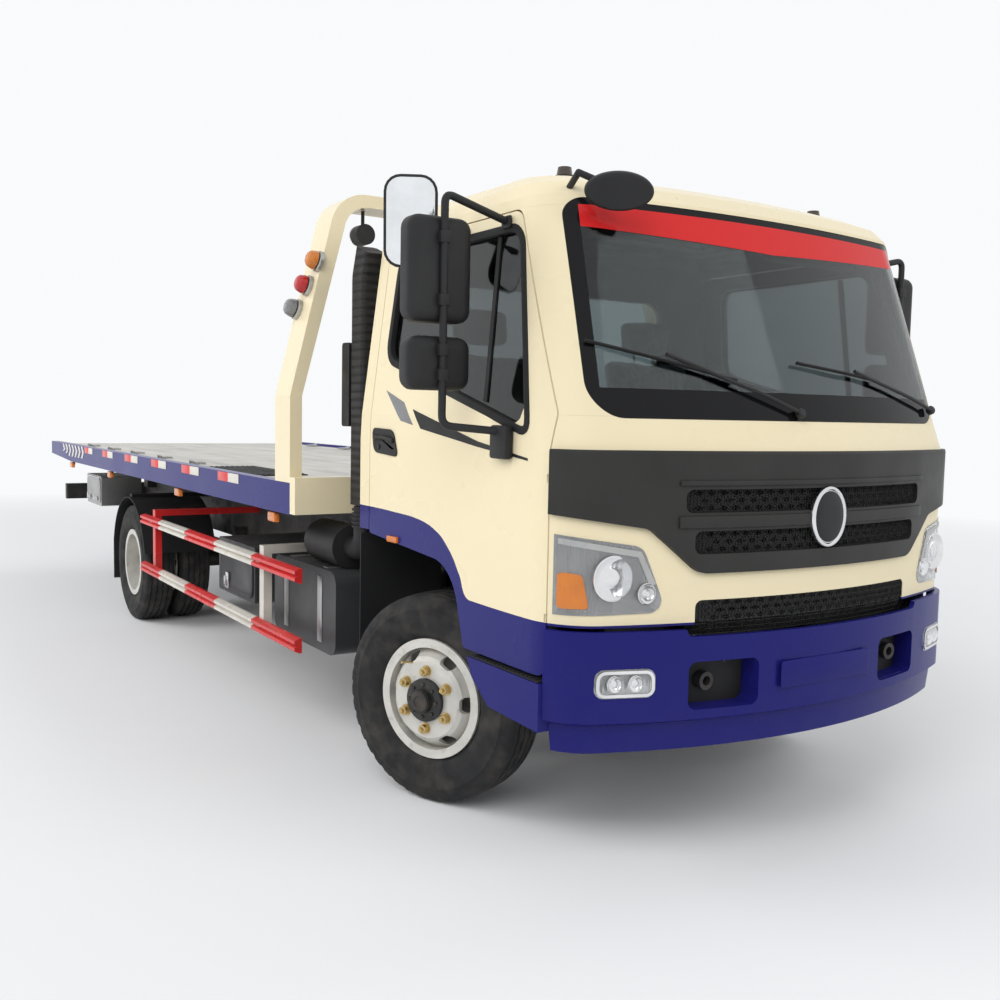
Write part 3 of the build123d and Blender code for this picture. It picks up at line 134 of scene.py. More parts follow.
class Shade:
    """One node material, with short calls for masks that read Object coordinates."""

    def __init__(self, name, base, rough=0.5, metal=0.0):
        self.material = bpy.data.materials.new(name)
        self.material.use_nodes = True
        self.nodes = self.material.node_tree.nodes
        self.links = self.material.node_tree.links
        self.shader = self.nodes["Principled BSDF"]
        self.base = (*base, 1.0)
        self.set("Base Color", self.base)
        self.set("Roughness", rough)
        self.set("Metallic", metal)
        self.place = self.nodes.new("ShaderNodeTexCoord").outputs["Object"]
        split = self.node("ShaderNodeSeparateXYZ", Vector=self.place)
        self.x, self.y, self.z = split.outputs

    def set(self, socket, value):
        """Sets a shader socket to a value, or links it to another node's socket."""
        if isinstance(value, bpy.types.NodeSocket):
            self.links.new(value, self.shader.inputs[socket])
        else:
            self.shader.inputs[socket].default_value = value

    def node(self, kind, **inputs):
        node = self.nodes.new(kind)
        for socket, value in inputs.items():
            self.feed(node.inputs[socket.replace("_", " ")], value)
        return node

    def feed(self, socket, value):
        if isinstance(value, bpy.types.NodeSocket):
            self.links.new(value, socket)
        else:
            socket.default_value = value

    def math(self, kind, a, b=0.0):
        node = self.nodes.new("ShaderNodeMath")
        node.operation = kind
        self.feed(node.inputs[0], a)
        self.feed(node.inputs[1], b)
        return node.outputs[0]

    def between(self, value, low, high):
        """1 where the value lies between two limits."""
        return self.math("MULTIPLY", self.math("GREATER_THAN", value, low), self.math("LESS_THAN", value, high))

    def both(self, *masks):
        result = masks[0]
        for mask in masks[1:]:
            result = self.math("MULTIPLY", result, mask)
        return result

    def either(self, *masks):
        result = masks[0]
        for mask in masks[1:]:
            result = self.math("MAXIMUM", result, mask)
        return result

    def mix(self, factor, a, b):
        node = self.nodes.new("ShaderNodeMix")
        node.data_type = "RGBA"
        self.feed(node.inputs["Factor"], factor)
        self.feed(node.inputs["A"], a)
        self.feed(node.inputs["B"], b)
        return node.outputs["Result"]

    def noise(self, scale, detail=3.0, stretch=(1, 1, 1)):
        mapping = self.node("ShaderNodeMapping", Vector=self.place, Scale=stretch)
        return self.node("ShaderNodeTexNoise", Vector=mapping.outputs[0], Scale=scale, Detail=detail).outputs["Fac"]

    def span(self, value, low, high, to_low, to_high):
        node = self.node("ShaderNodeMapRange", Value=value)
        for socket, number in zip(("From Min", "From Max", "To Min", "To Max"), (low, high, to_low, to_high)):
            self.feed(node.inputs[socket], number)
        return node.outputs["Result"]

    def bump(self, height, distance, strength=1.0):
        node = self.node("ShaderNodeBump", Height=height, Distance=distance, Strength=strength)
        self.set("Normal", node.outputs["Normal"])

    def vary(self, tint, amount=0.12, scale=3.0):
        """Base colour, shaded unevenly by a soft noise."""
        dark = tuple(channel * (1 - amount) for channel in self.base[:3]) + (1.0,)
        fleck = self.span(self.noise(scale, 4.0), 0.35, 0.75, 0.0, 1.0)
        if isinstance(tint, bpy.types.NodeSocket):
            shade = self.node("ShaderNodeMix")
            shade.data_type = "RGBA"
            shade.blend_type = "MULTIPLY"
            self.feed(shade.inputs["Factor"], self.math("MULTIPLY", fleck, amount))
            self.feed(shade.inputs["A"], tint)
            self.feed(shade.inputs["B"], (0.0, 0.0, 0.0, 1.0))
            result = shade.outputs["Result"]
        else:
            result = self.mix(fleck, self.base, dark)
        self.set("Base Color", result)
        return result

    def dust(self, tint, top, amount=0.5):
        """Road dust that thins out upwards over the base colour."""
        upwards = self.span(self.z, 0.25, top, amount, 0.0)
        patches = self.span(self.noise(9.0, 6.0), 0.4, 0.7, 0.0, 1.0)
        grime = self.math("MULTIPLY", upwards, patches)
        self.set("Base Color", self.mix(grime, tint, (0.16, 0.13, 0.10, 1.0)))


def paint_gloss(name, base, dusty=0.9, shine=0.3):
    """Coach paint with faint unevenness and dust low down."""
    shade = Shade(name, base, rough=0.28)
    shade.set("Specular IOR Level", shine)
    shade.set("Coat Weight", shine * 0.5)
    shade.set("Coat Roughness", 0.06)
    shade.set("Roughness", shade.span(shade.noise(3.0), 0.3, 0.7, 0.26, 0.31))
    shade.bump(shade.noise(160.0, 1.0), 0.0001, 0.15)
    shade.dust(shade.vary(None, 0.03, 0.8), dusty, 0.05)
    return shade


def plastic_matt(name, base, grain=420.0, rough=0.55):
    """Moulded plastic with a fine grain."""
    shade = Shade(name, base, rough=rough)
    shade.set("Specular IOR Level", 0.4)
    shade.set("Roughness", shade.span(shade.noise(6.0), 0.3, 0.7, rough - 0.07, rough + 0.08))
    shade.bump(shade.noise(grain, 2.0), 0.0004, 0.35)
    shade.vary(None, 0.2, 5.0)
    return shade


def metal_plain(name, base, rough=0.35, scratch=90.0):
    """Bare or plated metal with faint brushing."""
    shade = Shade(name, base, rough=rough, metal=1.0)
    brushed = shade.noise(scratch, 3.0, (1.0, 1.0, 14.0))
    shade.set("Roughness", shade.span(brushed, 0.3, 0.7, rough - 0.08, rough + 0.12))
    shade.vary(None, 0.18, 8.0)
    return shade


def lens(name, base, clear=0.75, rough=0.08):
    """Lamp plastic with fine moulded ribs."""
    shade = Shade(name, base, rough=rough)
    shade.set("Transmission Weight", clear)
    shade.set("Coat Weight", 0.4)
    ribs = shade.node("ShaderNodeTexWave", Vector=shade.place, Scale=55.0, Distortion=0.0)
    shade.bump(ribs.outputs["Fac"], 0.0012, 0.5)
    shade.vary(None, 0.1, 20.0)
    return shade


# Modelling by operators

def clear_selection():
    if bpy.context.mode != "OBJECT":
        bpy.ops.object.mode_set(mode="OBJECT")
    bpy.ops.object.select_all(action="DESELECT")


def edit():
    bpy.ops.object.mode_set(mode="EDIT")


def move_points(change):
    """Moves every vertex of the edited mesh to where a function puts it."""
    mesh = bmesh.from_edit_mesh(bpy.context.object.data)
    for vertex in mesh.verts:
        vertex.co = change(vertex.co.copy())
    bmesh.update_edit_mesh(bpy.context.object.data)


def place_active():
    """Puts the active object's place, turn and size into its mesh."""
    bpy.ops.object.transform_apply(location=True, rotation=True, scale=True)


def modify(kind, **settings):
    """Adds a modifier to the active object and applies it."""
    modifier = bpy.context.object.modifiers.new(kind.title(), kind)
    for name, value in settings.items():
        setattr(modifier, name, value)
    bpy.ops.object.modifier_apply(modifier=modifier.name)


def finished(name, shade, body, smooth=35.0, tidy=True):
    """Names, cleans and paints the active object and lets it ride on a body."""
    piece = bpy.context.object
    if bpy.context.mode != "OBJECT":
        bpy.ops.object.mode_set(mode="OBJECT")
    place_active()
    if tidy:
        edit()
        bpy.ops.mesh.select_all(action="SELECT")
        bpy.ops.mesh.remove_doubles(threshold=0.00005)
        bpy.ops.mesh.normals_make_consistent(inside=False)
        bpy.ops.object.mode_set(mode="OBJECT")
    bpy.ops.object.shade_smooth_by_angle(angle=math.radians(smooth))
    piece.name = name
    piece.data.materials.clear()
    piece.data.materials.append(shade.material)
    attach(piece, body)
    return piece


def start_block(low, high, soft=0.0, segments=2):
    """Box between two corners with its edges bevelled."""
    clear_selection()
    low, high = Vector(low), Vector(high)
    bpy.ops.mesh.primitive_cube_add(size=1, location=(low + high) / 2)
    bpy.context.object.scale = high - low
    place_active()
    edit()
    bpy.ops.mesh.select_all(action="SELECT")
    if soft:
        bpy.ops.mesh.bevel(offset=soft, segments=segments, affect="EDGES")
    bpy.ops.object.mode_set(mode="OBJECT")
    return bpy.context.object


def face_towards(way):
    """Turns the edited sheet's faces round where they point away from a direction."""
    mesh = bmesh.from_edit_mesh(bpy.context.object.data)
    mesh.normal_update()
    if sum(face.normal.dot(Vector(way)) for face in mesh.faces) < 0:
        bpy.ops.mesh.flip_normals()


def start_disc(centre, axis, radius, sides=32):
    """Flat disc that faces along an axis, left in edit mode with its face selected."""
    clear_selection()
    turn = Vector(axis).to_track_quat("Z", "Y").to_euler()
    bpy.ops.mesh.primitive_circle_add(vertices=sides, radius=radius, fill_type="NGON", location=centre, rotation=turn)
    place_active()
    edit()
    bpy.ops.mesh.select_mode(type="FACE")
    bpy.ops.mesh.select_all(action="SELECT")
    face_towards(axis)
    return bpy.context.object


def stepped(steps):
    """Raises the selected face in steps: each moves the rim inwards and the face outwards."""
    for inward, out in steps:
        bpy.ops.mesh.inset(thickness=max(inward, 0.0) + 1e-6 if inward >= 0 else -inward, depth=out,
                           use_outset=inward < 0, use_boundary=True)


def turned_piece(centre, axis, radius, steps, sides=32):
    """Round form built up from a disc by insets."""
    start_disc(centre, axis, radius, sides)
    stepped(steps)
    bpy.ops.object.mode_set(mode="OBJECT")
    return bpy.context.object


def start_outline(points, rounding=0.0, segments=5):
    """Flat face from its corners in order, with the corners rounded, left in edit mode and selected."""
    clear_selection()
    middle = sum((Vector(point) for point in points), Vector()) / len(points)
    bpy.ops.mesh.primitive_circle_add(vertices=len(points), radius=1.0, fill_type="NGON", location=middle)
    place_active()
    edit()
    mesh = bmesh.from_edit_mesh(bpy.context.object.data)
    mesh.verts.ensure_lookup_table()
    for vertex, point in zip(mesh.verts, points):
        vertex.co = Vector(point)
    bmesh.update_edit_mesh(bpy.context.object.data)
    bpy.ops.mesh.select_all(action="SELECT")
    if rounding:
        bpy.ops.mesh.bevel(offset=rounding, segments=segments, affect="VERTICES", clamp_overlap=True)
        bpy.ops.mesh.select_all(action="SELECT")
    return bpy.context.object


def extrude(move):
    bpy.ops.mesh.extrude_region_move(TRANSFORM_OT_translate={"value": tuple(move)})


def plate(points, move, rounding=0.0, soft=0.0):
    """Flat plate from its corners, thickened along a move, with its far edge bevelled."""
    start_outline(points, rounding)
    extrude(move)
    if soft:
        bpy.ops.mesh.region_to_loop()
        bpy.ops.mesh.bevel(offset=soft, segments=2, affect="EDGES")
    bpy.ops.object.mode_set(mode="OBJECT")
    return bpy.context.object


def start_line(points):
    """Line drawn from point to point by extruding a vertex."""
    clear_selection()
    bpy.ops.mesh.primitive_plane_add(size=0.01, location=points[0])
    edit()
    bpy.ops.mesh.merge(type="CENTER")
    for before, after in zip(points, points[1:]):
        bpy.ops.mesh.extrude_vertices_move(TRANSFORM_OT_translate={"value": tuple(Vector(after) - Vector(before))})
    bpy.ops.object.mode_set(mode="OBJECT")
    place_active()
    return bpy.context.object


def tube(points, radius, rounding=0.0, sides=3):
    """Round tube along a line whose corners are eased, its ends closed."""
    clear_selection()
    points = [Vector(point) for point in points]
    route = [points[0]]
    for before, corner, after in zip(points, points[1:], points[2:]):
        for way in (before - corner, None, after - corner):
            route.append(corner if way is None else corner + way.normalized() * min(rounding, way.length * 0.45))
    route.append(points[-1])
    bpy.ops.curve.primitive_nurbs_path_add(location=(0, 0, 0))
    curve = bpy.context.object.data
    curve.splines.clear()
    spline = curve.splines.new("NURBS")
    spline.points.add(len(route) - 1)
    for point, place in zip(spline.points, route):
        point.co = (*place, 1.0)
    spline.order_u = 3
    spline.use_endpoint_u = True
    spline.resolution_u = 6
    curve.dimensions = "3D"
    curve.bevel_depth = radius
    curve.bevel_resolution = sides
    curve.use_fill_caps = True
    bpy.ops.object.convert(target="MESH")
    return bpy.context.object


def spun(profile, steps):
    """Closed ring spun about Y from a line in (radius, y)."""
    start_line([(radius, y, 0.0) for radius, y in profile])
    edit()
    bpy.ops.mesh.select_all(action="SELECT")
    bpy.ops.mesh.spin(steps=steps, angle=math.tau, center=(0, 0, 0), axis=(0, 1, 0))
    bpy.ops.mesh.select_all(action="SELECT")
    bpy.ops.mesh.remove_doubles(threshold=0.0001)
    bpy.ops.mesh.normals_make_consistent(inside=False)
    return bpy.context.object


def join(pieces):
    """Joins objects into the first one, which stays active."""
    clear_selection()
    for piece in pieces:
        piece.select_set(True)
    bpy.context.view_layer.objects.active = pieces[0]
    if len(pieces) > 1:
        bpy.ops.object.join()
    return bpy.context.object


def copied(piece, matrix):
    """Copy of an object with its own mesh, moved by a matrix."""
    clear_selection()
    piece.select_set(True)
    bpy.context.view_layer.objects.active = piece
    bpy.ops.object.duplicate(linked=False)
    copy = bpy.context.object
    copy.matrix_world = matrix @ copy.matrix_world
    place_active()
    return copy


def ahead(node, y, z):
    """Point on a CAD node's front skin at a place across and a height, and its normal."""
    hit, point, normal, _ = NODES[node].ray_cast(Vector((CAD_BOX[1][0] + 1, y, z)), Vector((-1, 0, 0)))
    if not hit:
        raise RuntimeError(f"nothing of {node} at y {y:.3f}, z {z:.3f}")
    return point, normal


def beside(node, x, z, side):
    """Point on a CAD node's outer side skin at a station and a height, and its normal."""
    hit, point, normal, _ = NODES[node].ray_cast(Vector((FRONT_X + x, side * 3, z)), Vector((0, -side, 0)))
    if not hit:
        raise RuntimeError(f"nothing of {node} at x {x:.3f}, z {z:.3f}")
    return point, normal


def dress(node, shade):
    """Gives a CAD node a finish."""
    NODES[node].data.materials.clear()
    NODES[node].data.materials.append(shade.material)


class PieceOperator(bpy.types.Operator):
    """Base of the operators that build pieces."""
    bl_options = {"REGISTER", "UNDO"}

    def execute(self, context):
        self.make()
        return {"FINISHED"}


# Finishes

def cab_paint():
    """Cream above and blue below a line that falls from the door's rear edge to the bumper."""
    shade = paint_gloss("cab_cream", paint_of().cream, 0.9, 0.16)
    cream, blue = (*paint_of().cream, 1.0), (*paint_of().blue, 1.0)
    start, end, low, high = -0.50, 0.90, 0.80, 1.15
    curve = shade.nodes.new("ShaderNodeFloatCurve")
    line = curve.mapping.curves[0]
    corners = ((-0.47, 1.109), (-0.16, 1.105), (0.07, 1.093), (0.19, 1.065), (0.28, 1.014), (0.37, 0.920),
               (0.43, 0.847), (0.46, 0.846))
    for x, z in corners:
        line.points.new((x - start) / (end - start), (z - low) / (high - low))
    line.points[0].location = (0.0, (1.109 - low) / (high - low))
    line.points[-1].location = (1.0, (0.846 - low) / (high - low))
    curve.mapping.update()
    shade.feed(curve.inputs["Value"], shade.span(shade.x, FRONT_X + start, FRONT_X + end, 0.0, 1.0))
    limit = shade.span(curve.outputs["Value"], 0.0, 1.0, low, high)
    tint = shade.mix(shade.math("LESS_THAN", shade.z, limit), cream, blue)
    shade.dust(shade.mix(lining(shade), shade.vary(tint, 0.03, 0.8), (0.06, 0.06, 0.062, 1.0)), 0.9, 0.05)
    return shade


def height_curve(shade, places, low, high):
    """Value that runs through given places by height. Each place is a height and a value."""
    curve = shade.nodes.new("ShaderNodeFloatCurve")
    line = curve.mapping.curves[0]
    base, top = places[0][0], places[-1][0]
    ends = [((z - base) / (top - base), (value - low) / (high - low)) for z, value in places]
    for spot in ends[1:-1]:
        line.points.new(*spot)
    line.points[0].location = ends[0]
    line.points[-1].location = ends[-1]
    for point in line.points:
        point.handle_type = "VECTOR"
    curve.mapping.update()
    shade.feed(curve.inputs["Value"], shade.span(shade.z, base, top, 0.0, 1.0))
    return shade.span(curve.outputs["Value"], 0.0, 1.0, low, high)


def lining(shade):
    """1 on the cab's inner faces, which lie well inside its outer skin."""
    deep = 0.024
    half = height_curve(shade, ((0.60, 0.965), (1.385, 0.965), (1.485, 0.962), (2.215, 0.875), (2.262, 0.853),
                                (2.298, 0.813), (2.322, 0.750), (2.336, 0.655)), 0.5, 1.0)
    nose = height_curve(shade, ((0.60, 1.150), (1.385, 1.150), (1.485, 1.085), (2.215, 0.830), (2.262, 0.784),
                                (2.298, 0.700), (2.322, 0.567), (2.336, 0.368)), 0.0, 1.5)
    rear = height_curve(shade, ((0.60, -0.460), (1.485, -0.455), (2.215, -0.440), (2.262, -0.418), (2.298, -0.378),
                                (2.322, -0.315), (2.336, -0.220)), -0.5, 0.0)
    across = shade.math("ABSOLUTE", shade.y)
    bow = shade.math("MULTIPLY", shade.math("MULTIPLY", shade.y, shade.y), 0.203)
    ahead_limit = shade.math("SUBTRACT", shade.math("SUBTRACT", nose, bow), deep - FRONT_X)
    corner = shade.math("ADD", shade.math("MULTIPLY", shade.math("SUBTRACT", across, 0.755), 1.0),
                        shade.math("SUBTRACT", shade.x, shade.math("ADD", nose, FRONT_X - 0.34)))
    return shade.both(shade.math("LESS_THAN", across, shade.math("SUBTRACT", half, deep)),
                      shade.math("LESS_THAN", shade.x, ahead_limit),
                      shade.math("GREATER_THAN", shade.x, shade.math("ADD", rear, FRONT_X + deep)),
                      shade.math("LESS_THAN", shade.z, 2.308),
                      shade.math("LESS_THAN", corner, 0.272))


def guard_paint():
    """Red and white bands along the side guards, with white front posts."""
    shade = paint_gloss("guard_bands", paint_of().red)
    edges = [FRONT_X + x for x in (-1.303, -1.879, -2.417, -2.969)]
    post = shade.both(shade.between(shade.x, FRONT_X - 1.30, FRONT_X - 1.20),
                      shade.math("LESS_THAN", shade.math("ABSOLUTE", shade.y), 1.1063))
    white = shade.either(shade.between(shade.x, edges[1], edges[0]), shade.between(shade.x, edges[3], edges[2]), post)
    tint = shade.mix(white, (*paint_of().red, 1.0), (*paint_of().white, 1.0))
    shade.dust(shade.vary(tint, 0.15, 5.0), 1.0, 0.3)
    return shade


def deck_paint():
    """Worn grey plate with raised lozenges and tyre scuffs."""
    shade = Shade("deck_plate", paint_of().deck, rough=0.5)
    turn = shade.node("ShaderNodeMapping", Vector=shade.place, Rotation=(0, 0, math.radians(45)))
    check = shade.node("ShaderNodeTexBrick", Vector=turn.outputs[0], Scale=12.0)
    check.inputs["Mortar Size"].default_value = 0.06
    shade.bump(check.outputs["Fac"], 0.0015, 0.7)
    scuff = shade.span(shade.noise(4.0, 6.0, (0.25, 2.0, 1.0)), 0.5, 0.72, 0.0, 0.55)
    tint = shade.mix(scuff, (*paint_of().deck, 1.0), (0.30, 0.29, 0.28, 1.0))
    shade.vary(tint, 0.25, 1.4)
    shade.set("Roughness", shade.span(shade.noise(7.0, 5.0), 0.3, 0.7, 0.38, 0.62))
    return shade


def wheel_paint(name, joint):
    """Silver wheel with a black hub in its middle."""
    shade = Shade(name, paint_of().silver, rough=0.36, metal=0.3)
    centre, axis = JOINTS[joint]["pos_m"], JOINTS[joint]["axis"]
    arm = shade.nodes.new("ShaderNodeVectorMath")
    arm.operation = "SUBTRACT"
    shade.feed(arm.inputs[0], shade.place)
    arm.inputs[1].default_value = centre
    cross = shade.nodes.new("ShaderNodeVectorMath")
    cross.operation = "CROSS_PRODUCT"
    shade.feed(cross.inputs[0], arm.outputs[0])
    cross.inputs[1].default_value = axis
    radius = shade.nodes.new("ShaderNodeVectorMath")
    radius.operation = "LENGTH"
    shade.feed(radius.inputs[0], cross.outputs[0])
    reach = radius.outputs["Value"]
    hub = shade.math("LESS_THAN", reach, 0.083)
    tint = shade.mix(hub, (*paint_of().silver, 1.0), (0.02, 0.02, 0.02, 1.0))
    rust = shade.span(shade.noise(22.0, 7.0), 0.58, 0.74, 0.0, 0.35)
    shade.vary(shade.mix(rust, tint, (0.20, 0.13, 0.08, 1.0)), 0.2, 9.0)
    shade.set("Metallic", shade.span(hub, 0.0, 1.0, 0.3, 0.05))
    shade.set("Roughness", shade.span(shade.noise(30.0), 0.3, 0.7, 0.3, 0.46))
    return shade


def screen_glass():
    """Windscreen with a dark border, a red sun strip and clear glass in the middle."""
    clear = (0.30, 0.35, 0.36)
    shade = Shade("screen_glass", clear, rough=0.02)
    across = shade.math("ABSOLUTE", shade.y)
    front = shade.math("GREATER_THAN", shade.x, FRONT_X)
    edge = shade.span(shade.z, 1.49, 2.20, 0.815, 0.772)
    border = shade.either(shade.math("GREATER_THAN", across, edge), shade.math("LESS_THAN", shade.z, 1.585),
                          shade.math("GREATER_THAN", shade.z, 2.178))
    strip = shade.math("GREATER_THAN", shade.z, shade.span(across, 0.0, 0.8, 2.075, 2.105))
    dark = shade.both(front, border)
    red = shade.both(front, strip)
    cover = shade.either(dark, red)
    tint = shade.mix(red, (*clear, 1.0), (*paint_of().red, 1.0))
    shade.set("Base Color", shade.mix(dark, tint, (0.008, 0.008, 0.009, 1.0)))
    shade.set("Transmission Weight", shade.math("SUBTRACT", 1.0, cover))
    shade.set("Roughness", shade.span(shade.noise(18.0), 0.3, 0.7, 0.015, 0.05))
    shade.set("IOR", 1.45)
    shade.set("Specular IOR Level", 0.2)
    return shade


def door_glass():
    """Clear side glass with faint smears."""
    shade = Shade("door_glass", (0.20, 0.22, 0.22), rough=0.02)
    shade.set("Transmission Weight", 1.0)
    shade.set("IOR", 1.45)
    shade.set("Specular IOR Level", 0.2)
    shade.set("Roughness", shade.span(shade.noise(9.0, 5.0), 0.4, 0.7, 0.01, 0.06))
    shade.vary(None, 0.08, 3.0)
    return shade


def rubber():
    """Tyre rubber with a fine grain and patches of dust all over."""
    shade = Shade("tyre_rubber", (0.022, 0.022, 0.023), rough=0.75)
    shade.set("Specular IOR Level", 0.3)
    shade.bump(shade.noise(260.0, 3.0), 0.0006, 0.5)
    dusty = shade.span(shade.noise(12.0, 6.0), 0.45, 0.75, 0.0, 0.5)
    shade.set("Base Color", shade.mix(dusty, shade.vary(None, 0.3, 18.0), (0.085, 0.075, 0.062, 1.0)))
    shade.set("Roughness", shade.span(shade.noise(20.0), 0.3, 0.7, 0.66, 0.85))
    return shade


def cloth():
    """Woven seat cloth."""
    shade = Shade("seat_cloth", paint_of().cloth, rough=0.9)
    shade.set("Sheen Weight", 0.35)
    weave = shade.node("ShaderNodeTexWave", Vector=shade.place, Scale=140.0, Distortion=1.5)
    cross = shade.node("ShaderNodeTexWave", Vector=shade.place, Scale=140.0, Distortion=1.5)
    cross.bands_direction = "Z"
    shade.bump(shade.math("MULTIPLY", weave.outputs["Fac"], cross.outputs["Fac"]), 0.0012, 0.6)
    shade.vary(None, 0.3, 40.0)
    return shade


def duct_plastic():
    """Intake duct with moulded rings up its length."""
    shade = plastic_matt("duct_plastic", paint_of().plastic)
    ring = shade.node("ShaderNodeTexWave", Vector=shade.place, Scale=9.0, Distortion=0.0)
    ring.bands_direction = "Z"
    shade.bump(ring.outputs["Fac"], 0.012, 0.8)
    return shade


def chassis_paint():
    """Frame black under road dust."""
    shade = Shade("chassis_black", paint_of().chassis, rough=0.5)
    shade.set("Roughness", shade.span(shade.noise(11.0, 5.0), 0.3, 0.7, 0.4, 0.66))
    shade.bump(shade.noise(120.0, 3.0), 0.0006, 0.3)
    shade.dust(shade.vary(None, 0.3, 6.0), 1.2, 0.45)
    return shade


def grille_satin():
    """Dark satin moulding."""
    shade = plastic_matt("grille_satin", paint_of().grille, 500.0, 0.42)
    shade.set("Specular IOR Level", 0.2)
    return shade


MAKERS = {
    "cab": cab_paint,
    "cream": lambda: paint_gloss("hoop_cream", paint_of().cream, 0.6),
    "blue": lambda: paint_gloss("royal_blue", paint_of().blue, 0.8, 0.12),
    "red": lambda: paint_gloss("signal_red", paint_of().red, 0.5),
    "white": lambda: paint_gloss("signal_white", paint_of().white, 0.5),
    "guards": guard_paint,
    "deck": deck_paint,
    "grille": grille_satin,
    "plastic": lambda: plastic_matt("black_plastic", paint_of().plastic),
    # Black rubber for seals, blades and treads; the same finish colours the sheets of painted shade behind the grille
    # mesh and in the bumper's recesses.
    "seal": lambda: plastic_matt("seal_rubber", (0.012, 0.012, 0.012), 300.0, 0.68),
    "duct": duct_plastic,
    "chassis": chassis_paint,
    "box": lambda: plastic_matt("box_grey", (0.045, 0.046, 0.048), 90.0, 0.45),
    "steel": lambda: metal_plain("bare_steel", (0.50, 0.50, 0.49), 0.38),
    "chrome": lambda: metal_plain("polished_rod", (0.80, 0.80, 0.81), 0.14),
    "exhaust": lambda: metal_plain("exhaust_steel", (0.26, 0.22, 0.19), 0.55),
    "brass": lambda: metal_plain("plated_brass", paint_of().brass, 0.32),
    "mirror": lambda: metal_plain("mirror_glass", (0.86, 0.88, 0.90), 0.10, 20.0),
    "screen": screen_glass,
    "glass": door_glass,
    "clear": lambda: lens("clear_lens", (0.88, 0.90, 0.91), 0.8),
    "amber": lambda: lens("amber_lens", paint_of().amber, 0.35, 0.15),
    "smoke": lambda: lens("smoked_lens", (0.05, 0.034, 0.022), 0.2, 0.15),
    "redlens": lambda: lens("red_lens", (0.70, 0.012, 0.012), 0.3, 0.15),
    "rubber": rubber,
    "cloth": cloth,
    "decal": lambda: plastic_matt("decal_grey", (0.22, 0.22, 0.23), 600.0, 0.4),
}
FINISHES = {}


def finish(name):
    """A finish by its name, made the first time that it is asked for."""
    if name not in FINISHES:
        FINISHES[name] = MAKERS[name]()
    return FINISHES[name]


# Stage

class TRUCK_OT_stage(PieceOperator):
    """Sets up the floor, the light and the camera"""
    bl_idname = "truck.stage"
    bl_label = "Stage"

    def make(self):
        scene = bpy.context.scene
        scene.view_settings.view_transform = "Standard"
        self.floor()
        self.world(scene)
        for spot, aim, power, size in (((9.0, -9.0, 9.0), (0, 0, 1), 900, 9.0), ((12.0, 5.0, 6.0), (2, 0, 1), 420, 7.0),
                                       ((-5.0, -10.0, 6.0), (-1, 0, 1), 850, 8.0), ((0.0, 9.0, 9.0), (0, 0, 1), 380, 9.0)):
            bpy.ops.object.light_add(type="AREA", location=spot)
            lamp = bpy.context.object
            lamp.data.energy = power
            lamp.data.size = size
            lamp.visible_glossy = False
            lamp.rotation_euler = (Vector(aim) - Vector(spot)).to_track_quat("-Z", "Y").to_euler()
        self.camera(scene)

    def floor(self):
        clear_selection()
        bpy.ops.mesh.primitive_plane_add(size=160, location=(0, 0, -0.001))
        floor = bpy.context.object
        floor.name = "studio_floor"
        place_active()
        shade = Shade("floor_pale", (0.86, 0.86, 0.86), rough=0.9)
        shade.set("Specular IOR Level", 0.0)
        shade.vary(None, 0.02, 0.4)
        path = shade.nodes.new("ShaderNodeLightPath")
        seen = shade.either(*[path.outputs[f"Is {ray} Ray"] for ray in ("Camera", "Glossy", "Transmission")])
        reach = shade.math("SQRT", shade.math("ADD", shade.math("MULTIPLY", shade.x, shade.x),
                                              shade.math("MULTIPLY", shade.y, shade.y)))
        shade.set("Emission Color", (0.95, 0.96, 0.97, 1.0))
        shade.set("Emission Strength", shade.math("MULTIPLY", seen, shade.span(reach, 5.0, 13.0, 0.0, 1.0)))
        fade = shade.span(reach, 5.0, 13.0, 0.0, 1.0)
        shade.set("Base Color", shade.mix(fade, (0.86, 0.86, 0.86, 1.0), (0.0, 0.0, 0.0, 1.0)))
        floor.data.materials.append(shade.material)

    def world(self, scene):
        world = bpy.data.worlds.new("studio")
        scene.world = world
        world.use_nodes = True
        nodes, links = world.node_tree.nodes, world.node_tree.links
        nodes.clear()
        path = nodes.new("ShaderNodeLightPath")
        seen = path.outputs["Is Camera Ray"]
        for ray in ("Is Glossy Ray", "Is Transmission Ray"):
            pick_most = nodes.new("ShaderNodeMath")
            pick_most.operation = "MAXIMUM"
            links.new(seen, pick_most.inputs[0])
            links.new(path.outputs[ray], pick_most.inputs[1])
            seen = pick_most.outputs[0]
        soft, white = nodes.new("ShaderNodeBackground"), nodes.new("ShaderNodeBackground")
        soft.inputs["Color"].default_value = (0.90, 0.94, 1.0, 1.0)
        soft.inputs["Strength"].default_value = 0.42
        white.inputs["Color"].default_value = (0.95, 0.96, 0.97, 1.0)
        white.inputs["Strength"].default_value = 1.0
        choose, out = nodes.new("ShaderNodeMixShader"), nodes.new("ShaderNodeOutputWorld")
        links.new(seen, choose.inputs[0])
        links.new(soft.outputs[0], choose.inputs[1])
        links.new(white.outputs[0], choose.inputs[2])
        links.new(choose.outputs[0], out.inputs["Surface"])

    def camera(self, scene):
        bpy.ops.object.camera_add(location=at(3.5417, -2.8412, 1.4971))
        camera = bpy.context.object
        yaw, pitch, roll = math.radians(147.270), math.radians(4.687), math.radians(-1.1332)
        forward = Vector((math.cos(yaw) * math.cos(pitch), math.sin(yaw) * math.cos(pitch), -math.sin(pitch)))
        level = Vector((math.sin(yaw), -math.cos(yaw), 0.0))
        down = forward.cross(level)
        right = math.cos(roll) * level + math.sin(roll) * down
        lower = math.cos(roll) * down - math.sin(roll) * level
        camera.rotation_euler = Matrix((right, -lower, -forward)).transposed().to_euler()
        camera.data.lens = 37.82
        camera.data.sensor_width = 36.0
        scene.camera = camera


